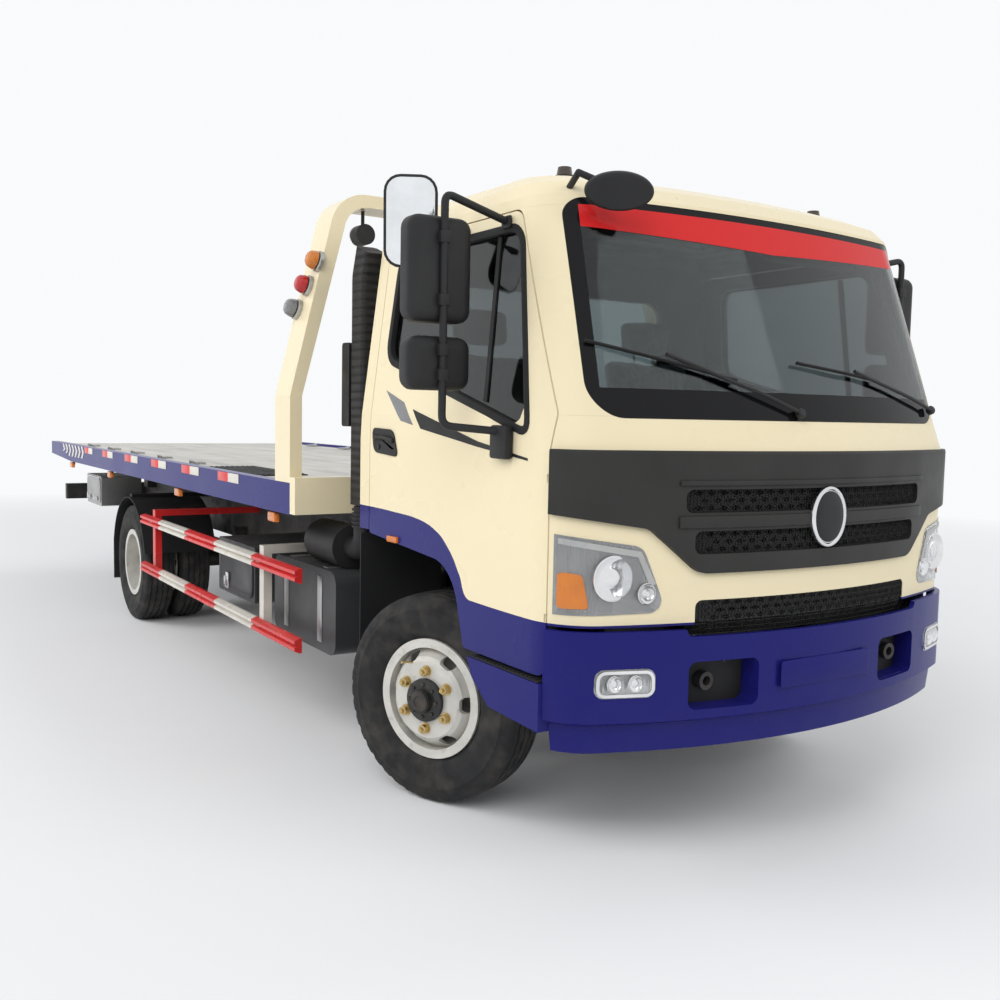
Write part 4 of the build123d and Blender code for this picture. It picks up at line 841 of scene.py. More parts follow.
class TRUCK_OT_paint(PieceOperator):
    """Gives the truck's own panels their finishes"""
    bl_idname = "truck.paint"
    bl_label = "Paint"

    def make(self):
        groups = {
            "cab": "cab_front door_left door_right cab_back cab_roof cab_pillars",
            "cream": "hoop deck_front",
            "blue": "bumper step_skirts deck_rails",
            "grille": "grille",
            "plastic": "cab_floor grille_mesh mirror_left mirror_right front_mirror air_cleaner mudguards dashboard",
            "duct": "snorkel",
            "chassis": "chassis_frame front_axle rear_axle leaf_springs driveline subframe tilt_frame tilt_barrels "
                       "knuckle_left knuckle_right tie_rod deck_frame winch oil_tank tow_sockets hoop_lamps",
            "exhaust": "exhaust",
            "chrome": "tilt_rods",
            "box": "frame_boxes",
            "steel": "control_boxes",
            "guards": "side_guards",
            "deck": "deck_floor",
            "rubber": "front_tyre_left front_tyre_right rear_tyres_left rear_tyres_right",
            "screen": "cab_glass",
            "glass": "door_glass_left door_glass_right",
            "clear": "headlamps chassis_lamps",
            "smoke": "roof_lamps",
            "cloth": "seats",
        }
        for name, nodes in groups.items():
            for node in nodes.split():
                dress(node, finish(name))
        for side, _ in SIDES:
            dress(f"front_wheel_{side}", wheel_paint(f"wheel_silver_front_{side}", f"spin_front_{side}"))
            dress(f"rear_wheels_{side}", wheel_paint(f"wheel_silver_rear_{side}", f"spin_rear_{side}"))


# Wheels

def wheel_places():
    """Every wheel's end, side and body, and the matrix from its own frame (+Y outboard)."""
    places = []
    for side, sign in SIDES:
        for group in ("front", "rear"):
            joint = JOINTS[f"spin_{group}_{side}"]
            out = Vector(joint["axis"]) * sign
            up = Vector((0, 0, 1))
            turn = Matrix((out.cross(up), out, up)).transposed().to_4x4()
            places.append((group, side, joint["child"], Matrix.Translation(joint["pos_m"]) @ turn))
    return places


class TRUCK_OT_tyres(PieceOperator):
    """Builds the tyres with zigzag grooves and notched shoulders"""
    bl_idname = "truck.tyres"
    bl_label = "Tyres"
    waves = 40
    twin = 0.1235

    def make(self):
        ring = self.ring()
        for group, side, body, matrix in wheel_places():
            offsets = (0.0,) if group == "front" else (self.twin, -self.twin)
            for number, offset in enumerate(offsets):
                copied(ring, matrix @ Matrix.Translation((0, offset, 0)))
                tyre = finished(f"tyre_{group}_{side}_{number}", finish("rubber"), body, 40)
                if number == 0:
                    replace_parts(tyre, f"{group}_tyre_{side}" if group == "front" else f"rear_tyres_{side}")
        bpy.data.objects.remove(ring)

    def ring(self):
        depth = size_of().tread
        wall = [(0.2056, 0.0754), (0.2352, 0.0756), (0.243, 0.084), (0.262, 0.0955), (0.290, 0.1035), (0.316, 0.1062),
                (0.338, 0.1052), (0.341, 0.1064), (0.346, 0.1060), (0.349, 0.1030), (0.366, 0.0990), (0.3835, 0.0935),
                (0.3945, 0.0880), (0.3985, 0.0790)]
        tread = []
        for middle in (0.056, 0.019):
            crown = 0.4035 - 0.0045 * (middle / 0.079) ** 2
            tread += [(crown, middle + 0.0055), (crown - depth, middle + 0.003), (crown - depth, middle - 0.003),
                      (crown, middle - 0.0055)]
        half = wall + tread
        profile = half + [(radius, -y) for radius, y in reversed(half)]
        steps = 4 * self.waves
        ring = spun(profile + [profile[0]], steps)
        span = math.tau / steps

        def shape_tread(co):
            radius = math.hypot(co.x, co.z)
            step = round(math.atan2(co.z, co.x) / span) % steps
            if radius > 0.388 and abs(co.y) < 0.075:
                co.y += (0.0035, 0.0, -0.0035, 0.0)[step % 4]
            elif 0.360 < radius < 0.3965 and step % 4 == 0:
                co.x *= 1 - 0.007 / radius
                co.z *= 1 - 0.007 / radius
            return co

        move_points(shape_tread)
        bpy.ops.object.mode_set(mode="OBJECT")
        return ring


class TRUCK_OT_wheels(PieceOperator):
    """Adds nuts, studs, hub bolts and valves to the wheels"""
    bl_idname = "truck.wheels"
    bl_label = "Wheel fittings"

    def around(self, piece, count):
        """Copies of a piece turned about the axle, with the first one."""
        turns = [Matrix.Rotation(math.tau * number / count, 4, "Y") for number in range(1, count)]
        return [piece] + [copied(piece, turn) for turn in turns]

    def make(self):
        size = size_of()
        for group, side, body, matrix in wheel_places():
            face = 0.105 if group == "front" else 0.0285
            nut = turned_piece((0, face, size.nut_circle), (0, 1, 0), size.nut * 1.35,
                               [(0, 0.004), (size.nut * 0.35, 0), (0, 0.020), (0.003, 0.003), (0.004, 0)], 24)
            stud = turned_piece((0, face + 0.02, size.nut_circle), (0, 1, 0), 0.009, [(0, 0.016), (0.002, 0.002)], 16)
            self.hexagon(nut, size)
            ring = self.around(join([nut, stud]), size.nuts)
            copied(join(ring), matrix)
            self.drop(ring[0])
            finished(f"nuts_{group}_{side}", finish("brass"), body, 25)
            cap = 0.147 if group == "front" else 0.125
            bolt = turned_piece((0, cap - 0.025, 0.062), (0, 1, 0), 0.008, [(0, 0.009), (0.0015, 0.0015)], 6)
            rows = self.around(bolt, 8)
            collar = turned_piece((0, cap - 0.004, 0), (0, 1, 0), 0.040,
                                  [(0, 0.006), (0.004, 0.004), (0.012, 0.001), (0.004, -0.004)], 40)
            whole = join(rows + [collar])
            copied(whole, matrix)
            self.drop(whole)
            finished(f"hub_bolts_{group}_{side}", finish("chassis"), body, 30)
            valve = tube([(0.0, face - 0.01, 0.150), (0.0, face + 0.02, 0.158), (0.0, face + 0.055, 0.162)], 0.0045, 0.01)
            copied(valve, matrix @ Matrix.Rotation(0.5, 4, "Y"))
            self.drop(valve)
            finished(f"valve_{group}_{side}", finish("brass"), body)

    def hexagon(self, nut, size):
        """Draws the raised part of a nut in to six flats."""
        edit()

        def flatten(co):
            across = Vector((co.x, 0, co.z - size.nut_circle))
            if across.length > 0.004 and across.length < size.nut * 1.1:
                sector = (math.atan2(across.z, across.x) + math.pi / 6) % (math.pi / 3) - math.pi / 6
                flat = math.cos(math.pi / 6) / math.cos(sector)
                across *= flat
            return Vector((across.x, co.y, across.z + size.nut_circle))

        move_points(flatten)
        bpy.ops.object.mode_set(mode="OBJECT")

    def drop(self, piece):
        """Takes the first copy away and keeps the active one."""
        keep = bpy.context.object
        bpy.data.objects.remove(piece)
        bpy.context.view_layer.objects.active = keep
        keep.select_set(True)


# Cab front

def draped(node, points, lift, rounding=0.0, cuts=0, thick=0.0, seen_from="side"):
    """Flat shape from its corners, cut fine and laid on a CAD node's skin, then thickened outwards."""
    start_outline(points, rounding, 4)
    if cuts:
        bpy.ops.mesh.quads_convert_to_tris()
        bpy.ops.mesh.subdivide(number_cuts=cuts)
    side = 1 if points[0][1] > 0 else -1

    def lay(co):
        if seen_from == "side":
            hit, normal = beside(node, co.x - FRONT_X, co.z, side)
        else:
            hit, normal = ahead(node, co.y, co.z)
        return hit + normal * lift

    move_points(lay)
    bpy.ops.mesh.select_all(action="SELECT")
    bpy.ops.mesh.normals_make_consistent(inside=False)
    face_towards((0, side, 0) if seen_from == "side" else (1, 0, 0))
    bpy.ops.object.mode_set(mode="OBJECT")
    if thick:
        modify("SOLIDIFY", thickness=thick, offset=-1.0)
    return bpy.context.object


class TRUCK_OT_grille(PieceOperator):
    """Adds fine mesh, dark sheets of painted shade behind it, ribs and the plain boss to the grille and the intake"""
    bl_idname = "truck.grille"
    bl_label = "Grille"
    windows = ((0.572, 1.200, 1.270), (0.537, 1.068, 1.138), (0.517, 0.800, 0.914))

    def make(self):
        for number, (half, low, high) in enumerate(self.windows):
            self.mesh(number, half, low, high)
        self.boss()
        for number, (low, high) in enumerate(((1.150, 1.188), (1.284, 1.300))):
            self.rib(number, low, high)

    def sheet(self, half, low, high, depth):
        """Lays a flat grid behind the cab's bowed front, tucked back below the intake to clear the bumper."""
        def lay(co):
            y, z = co.x * 2 * half, (low + high) / 2 + co.y * (high - low)
            tuck = max(0.0, 0.849 - z) * 0.55
            return Vector((FRONT_X + 1.150 - y * y / 4.934 - depth - tuck, y, z))

        move_points(lay)
        bpy.ops.object.mode_set(mode="OBJECT")

    def mesh(self, number, half, low, high):
        """Diamond wire mesh on the bowed front, with a near-black sheet behind it as painted shade in the opening."""
        clear_selection()
        bpy.ops.mesh.primitive_grid_add(x_subdivisions=int(half / 0.0062), y_subdivisions=6, size=1)
        edit()
        bpy.ops.mesh.select_all(action="SELECT")
        bpy.ops.mesh.poke()
        bpy.ops.mesh.tris_convert_to_quads(face_threshold=math.pi, shape_threshold=math.pi)
        self.sheet(half, low, high, 0.003)
        modify("WIREFRAME", thickness=0.0032, use_even_offset=False)
        finished(f"fine_mesh_{number}", finish("grille"), "cab", tidy=False)
        # Near-black sheet 24 mm behind the mesh: painted shade standing in for the dark space behind the grille.
        clear_selection()
        bpy.ops.mesh.primitive_grid_add(x_subdivisions=24, y_subdivisions=6, size=1)
        edit()
        self.sheet(half * 1.02, low - 0.006, high + 0.006, 0.024)
        modify("SOLIDIFY", thickness=0.003)
        finished(f"mesh_painted_shade_{number}", finish("seal"), "cab")

    def boss(self):
        """Plain dark oval in the middle of the grille, with a bright rim and no mark."""
        skin, _ = ahead("grille", 0.0, 1.160)
        forms = (("boss_rim", "chrome", 1.0, [(0, 0.016), (0.004, 0.004), (0.006, 0.0), (0.004, -0.005)]),
                 ("grille_boss", "plastic", 0.84, [(0, 0.016), (0.006, 0.003), (0.02, 0.002), (0.02, 0.001)]))
        for name, shade, part, steps in forms:
            points = []
            for number in range(40):
                angle = math.tau * number / 40
                points.append((skin.x - 0.004, 0.083 * part * math.cos(angle), 1.174 + 0.103 * part * math.sin(angle)))
            start_outline(points)
            face_towards((1, 0, 0))
            stepped(steps)
            bpy.ops.object.mode_set(mode="OBJECT")
            finished(name, finish(shade), "cab", 50)

    def rib(self, number, low, high):
        """Long rounded rib across the grille's middle."""
        half = 0.60
        clear_selection()
        bpy.ops.mesh.primitive_grid_add(x_subdivisions=40, y_subdivisions=1, size=1)
        edit()
        move_points(lambda co: Vector((ahead("grille", co.x * 2 * half, (low + high) / 2)[0].x + 0.004,
                                       co.x * 2 * half, (low + high) / 2 + co.y * (high - low))))
        bpy.ops.mesh.select_all(action="SELECT")
        bpy.ops.mesh.normals_make_consistent(inside=False)
        bpy.ops.object.mode_set(mode="OBJECT")
        modify("SOLIDIFY", thickness=0.008, offset=0.0)
        modify("BEVEL", width=0.003, segments=2, limit_method="ANGLE")
        finished(f"grille_rib_{number}", finish("grille"), "cab", 40)


class TRUCK_OT_lamps(PieceOperator):
    """Builds the headlamps, fog lamps, roof markers and tail lamps"""
    bl_idname = "truck.lamps"
    bl_label = "Lamps"

    def make(self):
        for side, sign in SIDES:
            self.headlamp(side, sign)
            self.fog(side, sign)
            self.tail(side, sign)
            self.roof(side, sign)

    def bowl(self, node, y, z, radius, name, shade, lift=0.001, deep=0.018):
        """Round lamp on a front skin: a rim, a dished reflector and a bulb cap."""
        skin, normal = ahead(node, y, z)
        normal = (normal + Vector((2, 0, 0))).normalized()
        turned_piece(skin + normal * lift, normal, radius,
                     [(0, 0.004), (radius * 0.06, 0.0015), (radius * 0.06, -0.002), (radius * 0.18, -deep * 0.25),
                      (radius * 0.22, -deep * 0.12), (radius * 0.14, deep * 0.35), (radius * 0.10, deep * 0.2)], 40)
        return finished(name, shade, "cab" if node == "headlamps" else "chassis", 40)

    def headlamp(self, side, sign):
        """Bright dishes and an amber corner in the clear unit."""
        self.bowl("headlamps", sign * 0.800, 0.995, 0.072, f"main_beam_{side}", finish("chrome"))
        self.bowl("headlamps", sign * 0.692, 0.945, 0.034, f"side_beam_{side}", finish("chrome"))
        corner = [(0, sign * y, z) for y, z in ((0.868, 0.900), (0.938, 0.898), (0.938, 1.012), (0.886, 1.006))]
        draped("headlamps", corner, 0.004, 0.012, 2, 0.004, "front")
        finished(f"turn_lens_{side}", finish("amber"), "cab", 40)
        brow = [(0, sign * y, z) for y, z in ((0.662, 0.975), (0.712, 1.078), (0.938, 1.118), (0.938, 1.100),
                                               (0.722, 1.060), (0.680, 0.965))]
        draped("headlamps", brow, 0.003, 0.0, 2, 0.003, "front")
        finished(f"lamp_brow_{side}", finish("steel"), "cab", 40)

    def fog(self, side, sign):
        """Fog lamp's reflector and its bezel."""
        ring = [(0, sign * y, z) for y, z in ((0.674, 0.624), (0.856, 0.624), (0.854, 0.708), (0.676, 0.708))]
        start_outline(ring, 0.028)
        bpy.ops.mesh.inset(thickness=0.010)
        bpy.ops.mesh.delete(type="FACE")
        move_points(lambda co: ahead("chassis_lamps", co.y, co.z)[0] + Vector((0.001, 0, 0)))
        bpy.ops.mesh.select_all(action="SELECT")
        bpy.ops.mesh.normals_make_consistent(inside=False)
        face_towards((1, 0, 0))
        bpy.ops.object.mode_set(mode="OBJECT")
        modify("SOLIDIFY", thickness=0.005, offset=1.0)
        finished(f"fog_bezel_{side}", finish("chrome"), "chassis", 40)
        for number, (y, radius) in enumerate(((0.735, 0.028), (0.800, 0.028))):
            name = f"fog_dish_{side}_{number}"
            self.bowl("chassis_lamps", sign * y, 0.666, radius, name, finish("chrome"), 0.0, 0.010)

    def tail(self, side, sign):
        """Three lenses on the lamp block of the rear beam."""
        low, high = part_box("chassis_lamps")
        back = low[0]
        for number, (y0, y1, lens_name) in enumerate(((0.848, 0.920, "clear"), (0.924, 0.996, "amber"),
                                                      (1.000, 1.068, "redlens"))):
            points = [(back, sign * y, z) for y, z in ((y0, 0.724), (y1, 0.724), (y1, 0.796), (y0, 0.796))]
            plate(points, (-0.012, 0, 0), 0.008, 0.004)
            finished(f"tail_lens_{side}_{number}", finish(lens_name), "chassis", 40)

    def roof(self, side, sign):
        """Skirt round a roof marker's foot."""
        centre = at(0.49, sign * 0.638, 2.318)
        turned_piece(centre, (0, 0, 1), 0.044, [(0, 0.008), (0.008, 0.004), (0.006, 0.0)], 36)
        finished(f"marker_foot_{side}", finish("seal"), "cab", 40)


class TRUCK_OT_screen(PieceOperator):
    """Builds the wipers"""
    bl_idname = "truck.screen"
    bl_label = "Wipers"
    # Columns: blade's two ends, arm's joint on the blade, arm's pivot; station, across and height.
    wipers = (
        ((0.882, -0.830, 1.726), (1.021, -0.318, 1.616), (0.960, -0.575, 1.689), (1.088, -0.064, 1.479)),
        ((1.013, -0.026, 1.685), (1.002, 0.410, 1.640), (1.009, 0.266, 1.664), (0.961, 0.793, 1.538)),
    )

    def on_glass(self, y, z, lift):
        skin, normal = ahead("cab_glass", y, max(z, 1.505))
        return Vector((skin.x, y, z)) + normal * lift

    def make(self):
        for number, (first, last, joint, pivot) in enumerate(self.wipers):
            ends = [self.on_glass(y, z, 0.016) for _, y, z in (first, last)]
            middle = self.on_glass((first[1] + last[1]) / 2, (first[2] + last[2]) / 2, 0.018)
            blade = tube([ends[0], middle, ends[1]], 0.0055, 0.2)
            spine = tube([self.on_glass(first[1], first[2], 0.022), middle + Vector((0.010, 0, 0)),
                          self.on_glass(last[1], last[2], 0.022)], 0.004, 0.2)
            join([blade, spine])
            finished(f"wiper_blade_{number}", finish("seal"), "cab")
            foot = self.on_glass(pivot[1], max(pivot[2], 1.512), 0.022)
            knee = (self.on_glass(joint[1], joint[2], 0.030) * 0.3 + foot * 0.7) + Vector((0.008, 0, 0.004))
            arm = tube([foot, knee, self.on_glass(joint[1], joint[2], 0.028)], size_of().wiper * 0.42, 0.02)
            cap = turned_piece(foot - Vector((0.012, 0, 0.004)), (1, 0, 0.4), 0.017, [(0, 0.016), (0.004, 0.005)], 24)
            join([arm, cap])
            finished(f"wiper_arm_{number}", finish("plastic"), "cab")


# Doors

class TRUCK_OT_doors(PieceOperator):
    """Adds window seals, handles, stripes, side markers and step treads to the doors"""
    bl_idname = "truck.doors"
    bl_label = "Doors"

    def make(self):
        for side, sign in SIDES:
            body = f"door_{side}"
            self.seal(side, sign, body)
            self.handle(side, sign, body)
            self.stripes(side, sign, body)
            self.marker(side, sign, body)
            self.step(side, sign)

    def seal(self, side, sign, body):
        """Rubber frame round the window opening."""
        width = size_of().seal
        corners = ((-0.293, 1.695), (-0.271, 2.132), (0.617, 2.134), (0.800, 1.414))

        def skin(z):
            return (0.962 - 0.087 * (z - 1.485) / 0.73) + 0.0015 if z > 1.485 else 0.9635 + 0.0015

        start_outline([(FRONT_X + x, sign, z) for x, z in corners], 0.08, 6)
        bpy.ops.mesh.inset(thickness=width * 1.4)
        bpy.ops.mesh.delete(type="FACE")
        bpy.ops.mesh.select_all(action="SELECT")
        move_points(lambda co: Vector((co.x, sign * (skin(co.z) + 0.002), co.z)))
        extrude((0, -sign * 0.034, 0))
        bpy.ops.object.mode_set(mode="OBJECT")
        modify("BEVEL", width=0.003, segments=2, limit_method="ANGLE")
        finished(f"window_seal_{side}", finish("seal"), body, 40)
        post = [(FRONT_X + x, sign * 0.944, z) for x, z in ((0.44, 2.10), (0.462, 2.10), (0.492, 1.535), (0.470, 1.540))]
        start_outline(post)
        move_points(lambda co: Vector((co.x, sign * (skin(co.z) - 0.014), co.z)))
        bpy.ops.mesh.select_all(action="SELECT")
        extrude((0, -sign * 0.012, 0))
        bpy.ops.object.mode_set(mode="OBJECT")
        finished(f"quarter_post_{side}", finish("seal"), body)

    def handle(self, side, sign, body):
        """Recessed cup with a pull bar and a key barrel."""
        corners = ((-0.344, 1.432), (-0.158, 1.427), (-0.114, 1.321), (-0.328, 1.334))
        points = [(FRONT_X + x, sign * 0.9656, z) for x, z in corners]
        start_outline(points, 0.03)
        face_towards((0, sign, 0))
        stepped([(0.0, 0.004), (0.006, 0.001), (0.008, -0.003), (0.012, -0.0015)])
        cup = bpy.context.object
        bpy.ops.object.mode_set(mode="OBJECT")
        bar = tube([(FRONT_X + x, sign * 0.971, z) for x, z in ((-0.318, 1.392), (-0.24, 1.394), (-0.150, 1.384))], 0.009, 0.02)
        key = turned_piece((FRONT_X - 0.285, sign * 0.9665, 1.355), (0, sign, 0), 0.011, [(0, 0.004), (0.003, 0.001)], 20)
        join([cup, bar, key])
        finished(f"door_handle_{side}", finish("plastic"), body, 40)

    def stripes(self, side, sign, body):
        """Grey lozenge and black tapered stripe, thin films on the door."""
        lozenge = ((-0.253, 1.582), (-0.088, 1.534), (-0.001, 1.448), (-0.103, 1.463))
        taper = ((-0.010, 1.508), (0.474, 1.402), (0.781, 1.358), (0.782, 1.350), (0.475, 1.383), (0.059, 1.436))
        for name, corners, shade in (("door_lozenge", lozenge, "decal"), ("door_stripe", taper, "plastic")):
            points = [(FRONT_X + x, sign, z) for x, z in corners]
            draped(f"door_{side}", points, 0.0012, 0.0, 4, 0.001)
            finished(f"{name}_{side}", finish(shade), body, 60)

    def marker(self, side, sign, body):
        """Amber side marker behind the door's lower edge."""
        plate([(FRONT_X + x, sign * 0.9655, z) for x, z in ((-0.189, 0.984), (-0.107, 0.984), (-0.107, 1.008), (-0.189, 1.008))],
              (0, sign * 0.012, 0), 0.006, 0.003)
        finished(f"side_marker_{side}", finish("amber"), body, 40)

    def step(self, side, sign):
        """Black ribbed strip on the step's top."""
        strip = start_block(at(0.47, sign * 0.90, 0.6551), at(0.885, sign * 0.981, 0.6615), 0.002)
        ribs = [start_block(at(0.49 + 0.024 * n, sign * 0.905, 0.6605), at(0.502 + 0.024 * n, sign * 0.976, 0.6645), 0.0015)
                for n in range(16)]
        join([strip] + ribs)
        finished(f"step_tread_{side}", finish("seal"), "chassis", 30)


class TRUCK_OT_mirrors(PieceOperator):
    """Builds the door mirrors on their bent arms and adds the glass of every mirror"""
    bl_idname = "truck.mirrors"
    bl_label = "Mirrors"

    def make(self):
        for side, sign in SIDES:
            body = f"door_{side}"
            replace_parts(self.arm(side, sign, body), f"mirror_{side}")
            for name, low, high in (("main", 1.790, 2.130), ("wide", 1.570, 1.745)):
                self.head(f"mirror_head_{name}_{side}", sign, low, high, body)
                self.pane(f"mirror_{name}_{side}", sign, low, high, body)
        self.kerb()
        self.oval()

    def arm(self, side, sign, body):
        """Bent tube with a bracket low on the door and a clamp at its top."""
        rail = tube([at(0.640, sign * 0.985, 1.440), at(0.550, sign * 1.150, 1.455), at(0.550, sign * 1.150, 2.200),
                     at(0.520, sign * 0.889, 2.140)], 0.013, 0.07, 4)
        bracket = start_block(at(0.600, sign * 0.9657, 1.350), at(0.700, sign * 1.000, 1.460), 0.010)
        clamp = start_block(at(0.495, sign * 0.888, 2.118), at(0.545, sign * 0.901, 2.160), 0.004)
        ties = [start_block(at(0.532, sign * 1.130, z - 0.02), at(0.565, sign * 1.170, z + 0.02), 0.006)
                for z in (1.62, 1.70, 1.86, 2.06)]
        join([rail, bracket, clamp] + ties)
        piece = finished(f"mirror_arm_{side}", finish("plastic"), body, 40)
        return piece

    def head(self, name, sign, low, high, body):
        """Rounded mirror head: a shell behind the glass and a domed front."""
        back, rounding = 0.462, 0.042
        sides = ((1.034, low), (1.266, low), (1.266, high), (1.034, high))
        shell = plate([at(back + 0.046, sign * y, z) for y, z in sides], (-0.046, 0, 0), rounding, 0.008)
        start_outline([at(back + 0.046, sign * y, z) for y, z in sides], rounding)
        face_towards((1, 0, 0))
        stepped([(0.0, 0.008), (0.003, 0.009), (0.008, 0.009), (0.014, 0.006), (0.012, 0.002)])
        bpy.ops.object.mode_set(mode="OBJECT")
        join([bpy.context.object, shell])
        finished(name, finish("plastic"), body, 40)

    def pane(self, name, sign, low, high, body):
        """Glass in the back of a mirror head, inside a raised rim."""
        back = 0.462
        y0, y1 = sign * 1.046, sign * 1.254
        points = [at(back, y, z) for y, z in ((y0, low + 0.016), (y1, low + 0.016), (y1, high - 0.016), (y0, high - 0.016))]
        start_outline(points, 0.03)
        face_towards((-1, 0, 0))
        stepped([(0.0, 0.002), (0.006, 0.001)])
        bpy.ops.object.mode_set(mode="OBJECT")
        finished(name, finish("mirror"), body, 40)

    def kerb(self):
        """Kerb mirror above the right door: a rounded shell on its arm, with the glass in front."""
        turn = Matrix.Translation(at(0.2, -1.09, 2.165)) @ Matrix.Rotation(math.radians(240), 4, "Z") \
            @ Matrix.Rotation(math.radians(84), 4, "X")
        arm = tube([at(0.263, -0.888, 2.139), at(0.215, -1.085, 2.150)], 0.011)
        forms = (("kerb_shell", 0.095, 0.160, 0.006, 1, "plastic", [(0, 0.02), (0.004, 0.01), (0.014, 0.006), (0.02, 0.002)]),
                 ("kerb_edge", 0.095, 0.160, 0.006, -1, "plastic", [(0, 0.003), (0.004, 0.003), (0.006, 0.0)]),
                 ("kerb_glass", 0.085, 0.150, 0.0015, -1, "mirror", [(0, 0.002), (0.004, 0.001)]))
        for name, half_x, half_y, level, way, shade, steps in forms:
            corners = [turn @ Vector((x, y, level)) for x, y in ((-half_x, -half_y), (half_x, -half_y), (half_x, half_y),
                                                                 (-half_x, half_y))]
            start_outline(corners, half_x - 0.035)
            face_towards(turn.to_3x3() @ Vector((0, 0, way)))
            stepped(steps)
            bpy.ops.object.mode_set(mode="OBJECT")
            if name == "kerb_shell":
                join([bpy.context.object, arm])
            finished(name, finish(shade), "door_right", 50)

    def oval(self):
        """Glass under the oval mirror at the roof's corner."""
        turn = Matrix.Translation(at(0.868, -0.70, 2.215)) @ Matrix.Rotation(math.radians(-25), 4, "Z") \
            @ Matrix.Rotation(math.radians(118), 4, "Y")
        points = []
        for number in range(36):
            angle = math.tau * number / 36
            points.append(turn @ Vector((0.050 * math.cos(angle), 0.100 * math.sin(angle), -0.0005)))
        start_outline(points)
        face_towards(turn.to_3x3() @ Vector((0, 0, -1)))
        stepped([(0.0, 0.001), (0.02, 0.002), (0.02, 0.001)])
        bpy.ops.object.mode_set(mode="OBJECT")
        finished("oval_glass", finish("mirror"), "cab", 60)


# Cabin

class TRUCK_OT_seats(PieceOperator):
    """Makes the padded seats and what they stand on"""
    bl_idname = "truck.seats"
    bl_label = "Seats"
    cap = 0.022

    def make(self):
        first = True
        for number, (y0, y1) in enumerate(((0.190, 0.690), (-0.700, 0.120))):
            base = start_block(at(-0.315, y0 + 0.02, 1.0375), at(0.185, y1 - 0.02, 1.205), 0.012)
            runners = [start_block(at(-0.30, y, 1.0374), at(0.20, y + 0.03, 1.052), 0.004) for y in (y0 + 0.05, y1 - 0.08)]
            join([base] + runners)
            finished(f"seat_plinth_{number}", finish("plastic"), "cab", 30)
            seams = [y0 + (y1 - y0) * part for part in ((0.25, 0.75) if number == 0 else (0.14, 0.36, 0.5, 0.64, 0.86))]
            cushion = self.pad(f"seat_cushion_{number}", at(-0.310, y0 + 0.014, 1.215), at(0.185, y1 - 0.014, 1.345), 0.0, seams)
            back = self.pad(f"seat_back_{number}", at(-0.320, y0 + 0.014, 1.335), at(-0.225, y1 - 0.014, 1.760), 0.09, seams)
            if first:
                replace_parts(cushion, "seats")
                first = False
            middles = ((y0 + y1) / 2,) if number == 0 else (y0 + 0.23, y1 - 0.23)
            for spot, y in enumerate(middles):
                self.pad(f"head_rest_{number}_{spot}", at(-0.318, y - 0.125, 1.790), at(-0.235, y + 0.125, 1.935), 0.09, [])
                posts = [tube([at(-0.325, y + s, 1.72), at(-0.338, y + s, 1.84)], 0.006) for s in (-0.06, 0.06)]
                join(posts)
                finished(f"rest_posts_{number}_{spot}", finish("chrome"), "cab")

    def pad(self, name, low, high, lean, seams):
        """Block swollen by a short cloth run, then drawn in along its seams."""
        start_block(low, high, min(0.05, (high - low).x * 0.4, (high - low).z * 0.4), 4)
        edit()
        move_points(lambda co: Vector((co.x - lean * (co.z - 1.30), co.y, co.z)))
        bpy.ops.object.mode_set(mode="OBJECT")
        modify("REMESH", mode="VOXEL", voxel_size=0.006)
        pad = bpy.context.object
        self.swell(pad)
        edit()

        def sew(co):
            for y in seams:
                pull = 0.012 * math.exp(-((co.y - y) / 0.009) ** 2)
                core_point = Vector(((low.x + high.x) / 2 - lean * (co.z - 1.30), co.y, (low.z + high.z) / 2))
                co += (core_point - co).normalized() * pull
            return co

        if seams:
            move_points(sew)
        bpy.ops.object.mode_set(mode="OBJECT")
        piece = finished(name, finish("cloth"), "cab", 180, tidy=False)
        return piece

    def swell(self, pad):
        """Inflates a pad and keeps every point within the cap."""
        scene = bpy.context.scene
        before = [vertex.co.copy() for vertex in pad.data.vertices]
        blow = pad.modifiers.new("Cloth", "CLOTH")
        blow.settings.use_pressure = True
        blow.settings.uniform_pressure_force = 4.0
        blow.settings.effector_weights.gravity = 0.0
        blow.settings.quality = 4
        blow.point_cache.frame_end = 20
        for number in range(1, 21):
            scene.frame_set(number)
        bpy.ops.object.modifier_apply(modifier=blow.name)
        scene.frame_set(1)
        for vertex, start in zip(pad.data.vertices, before):
            move = vertex.co - start
            if move.length > self.cap:
                vertex.co = start + move * (self.cap / move.length)


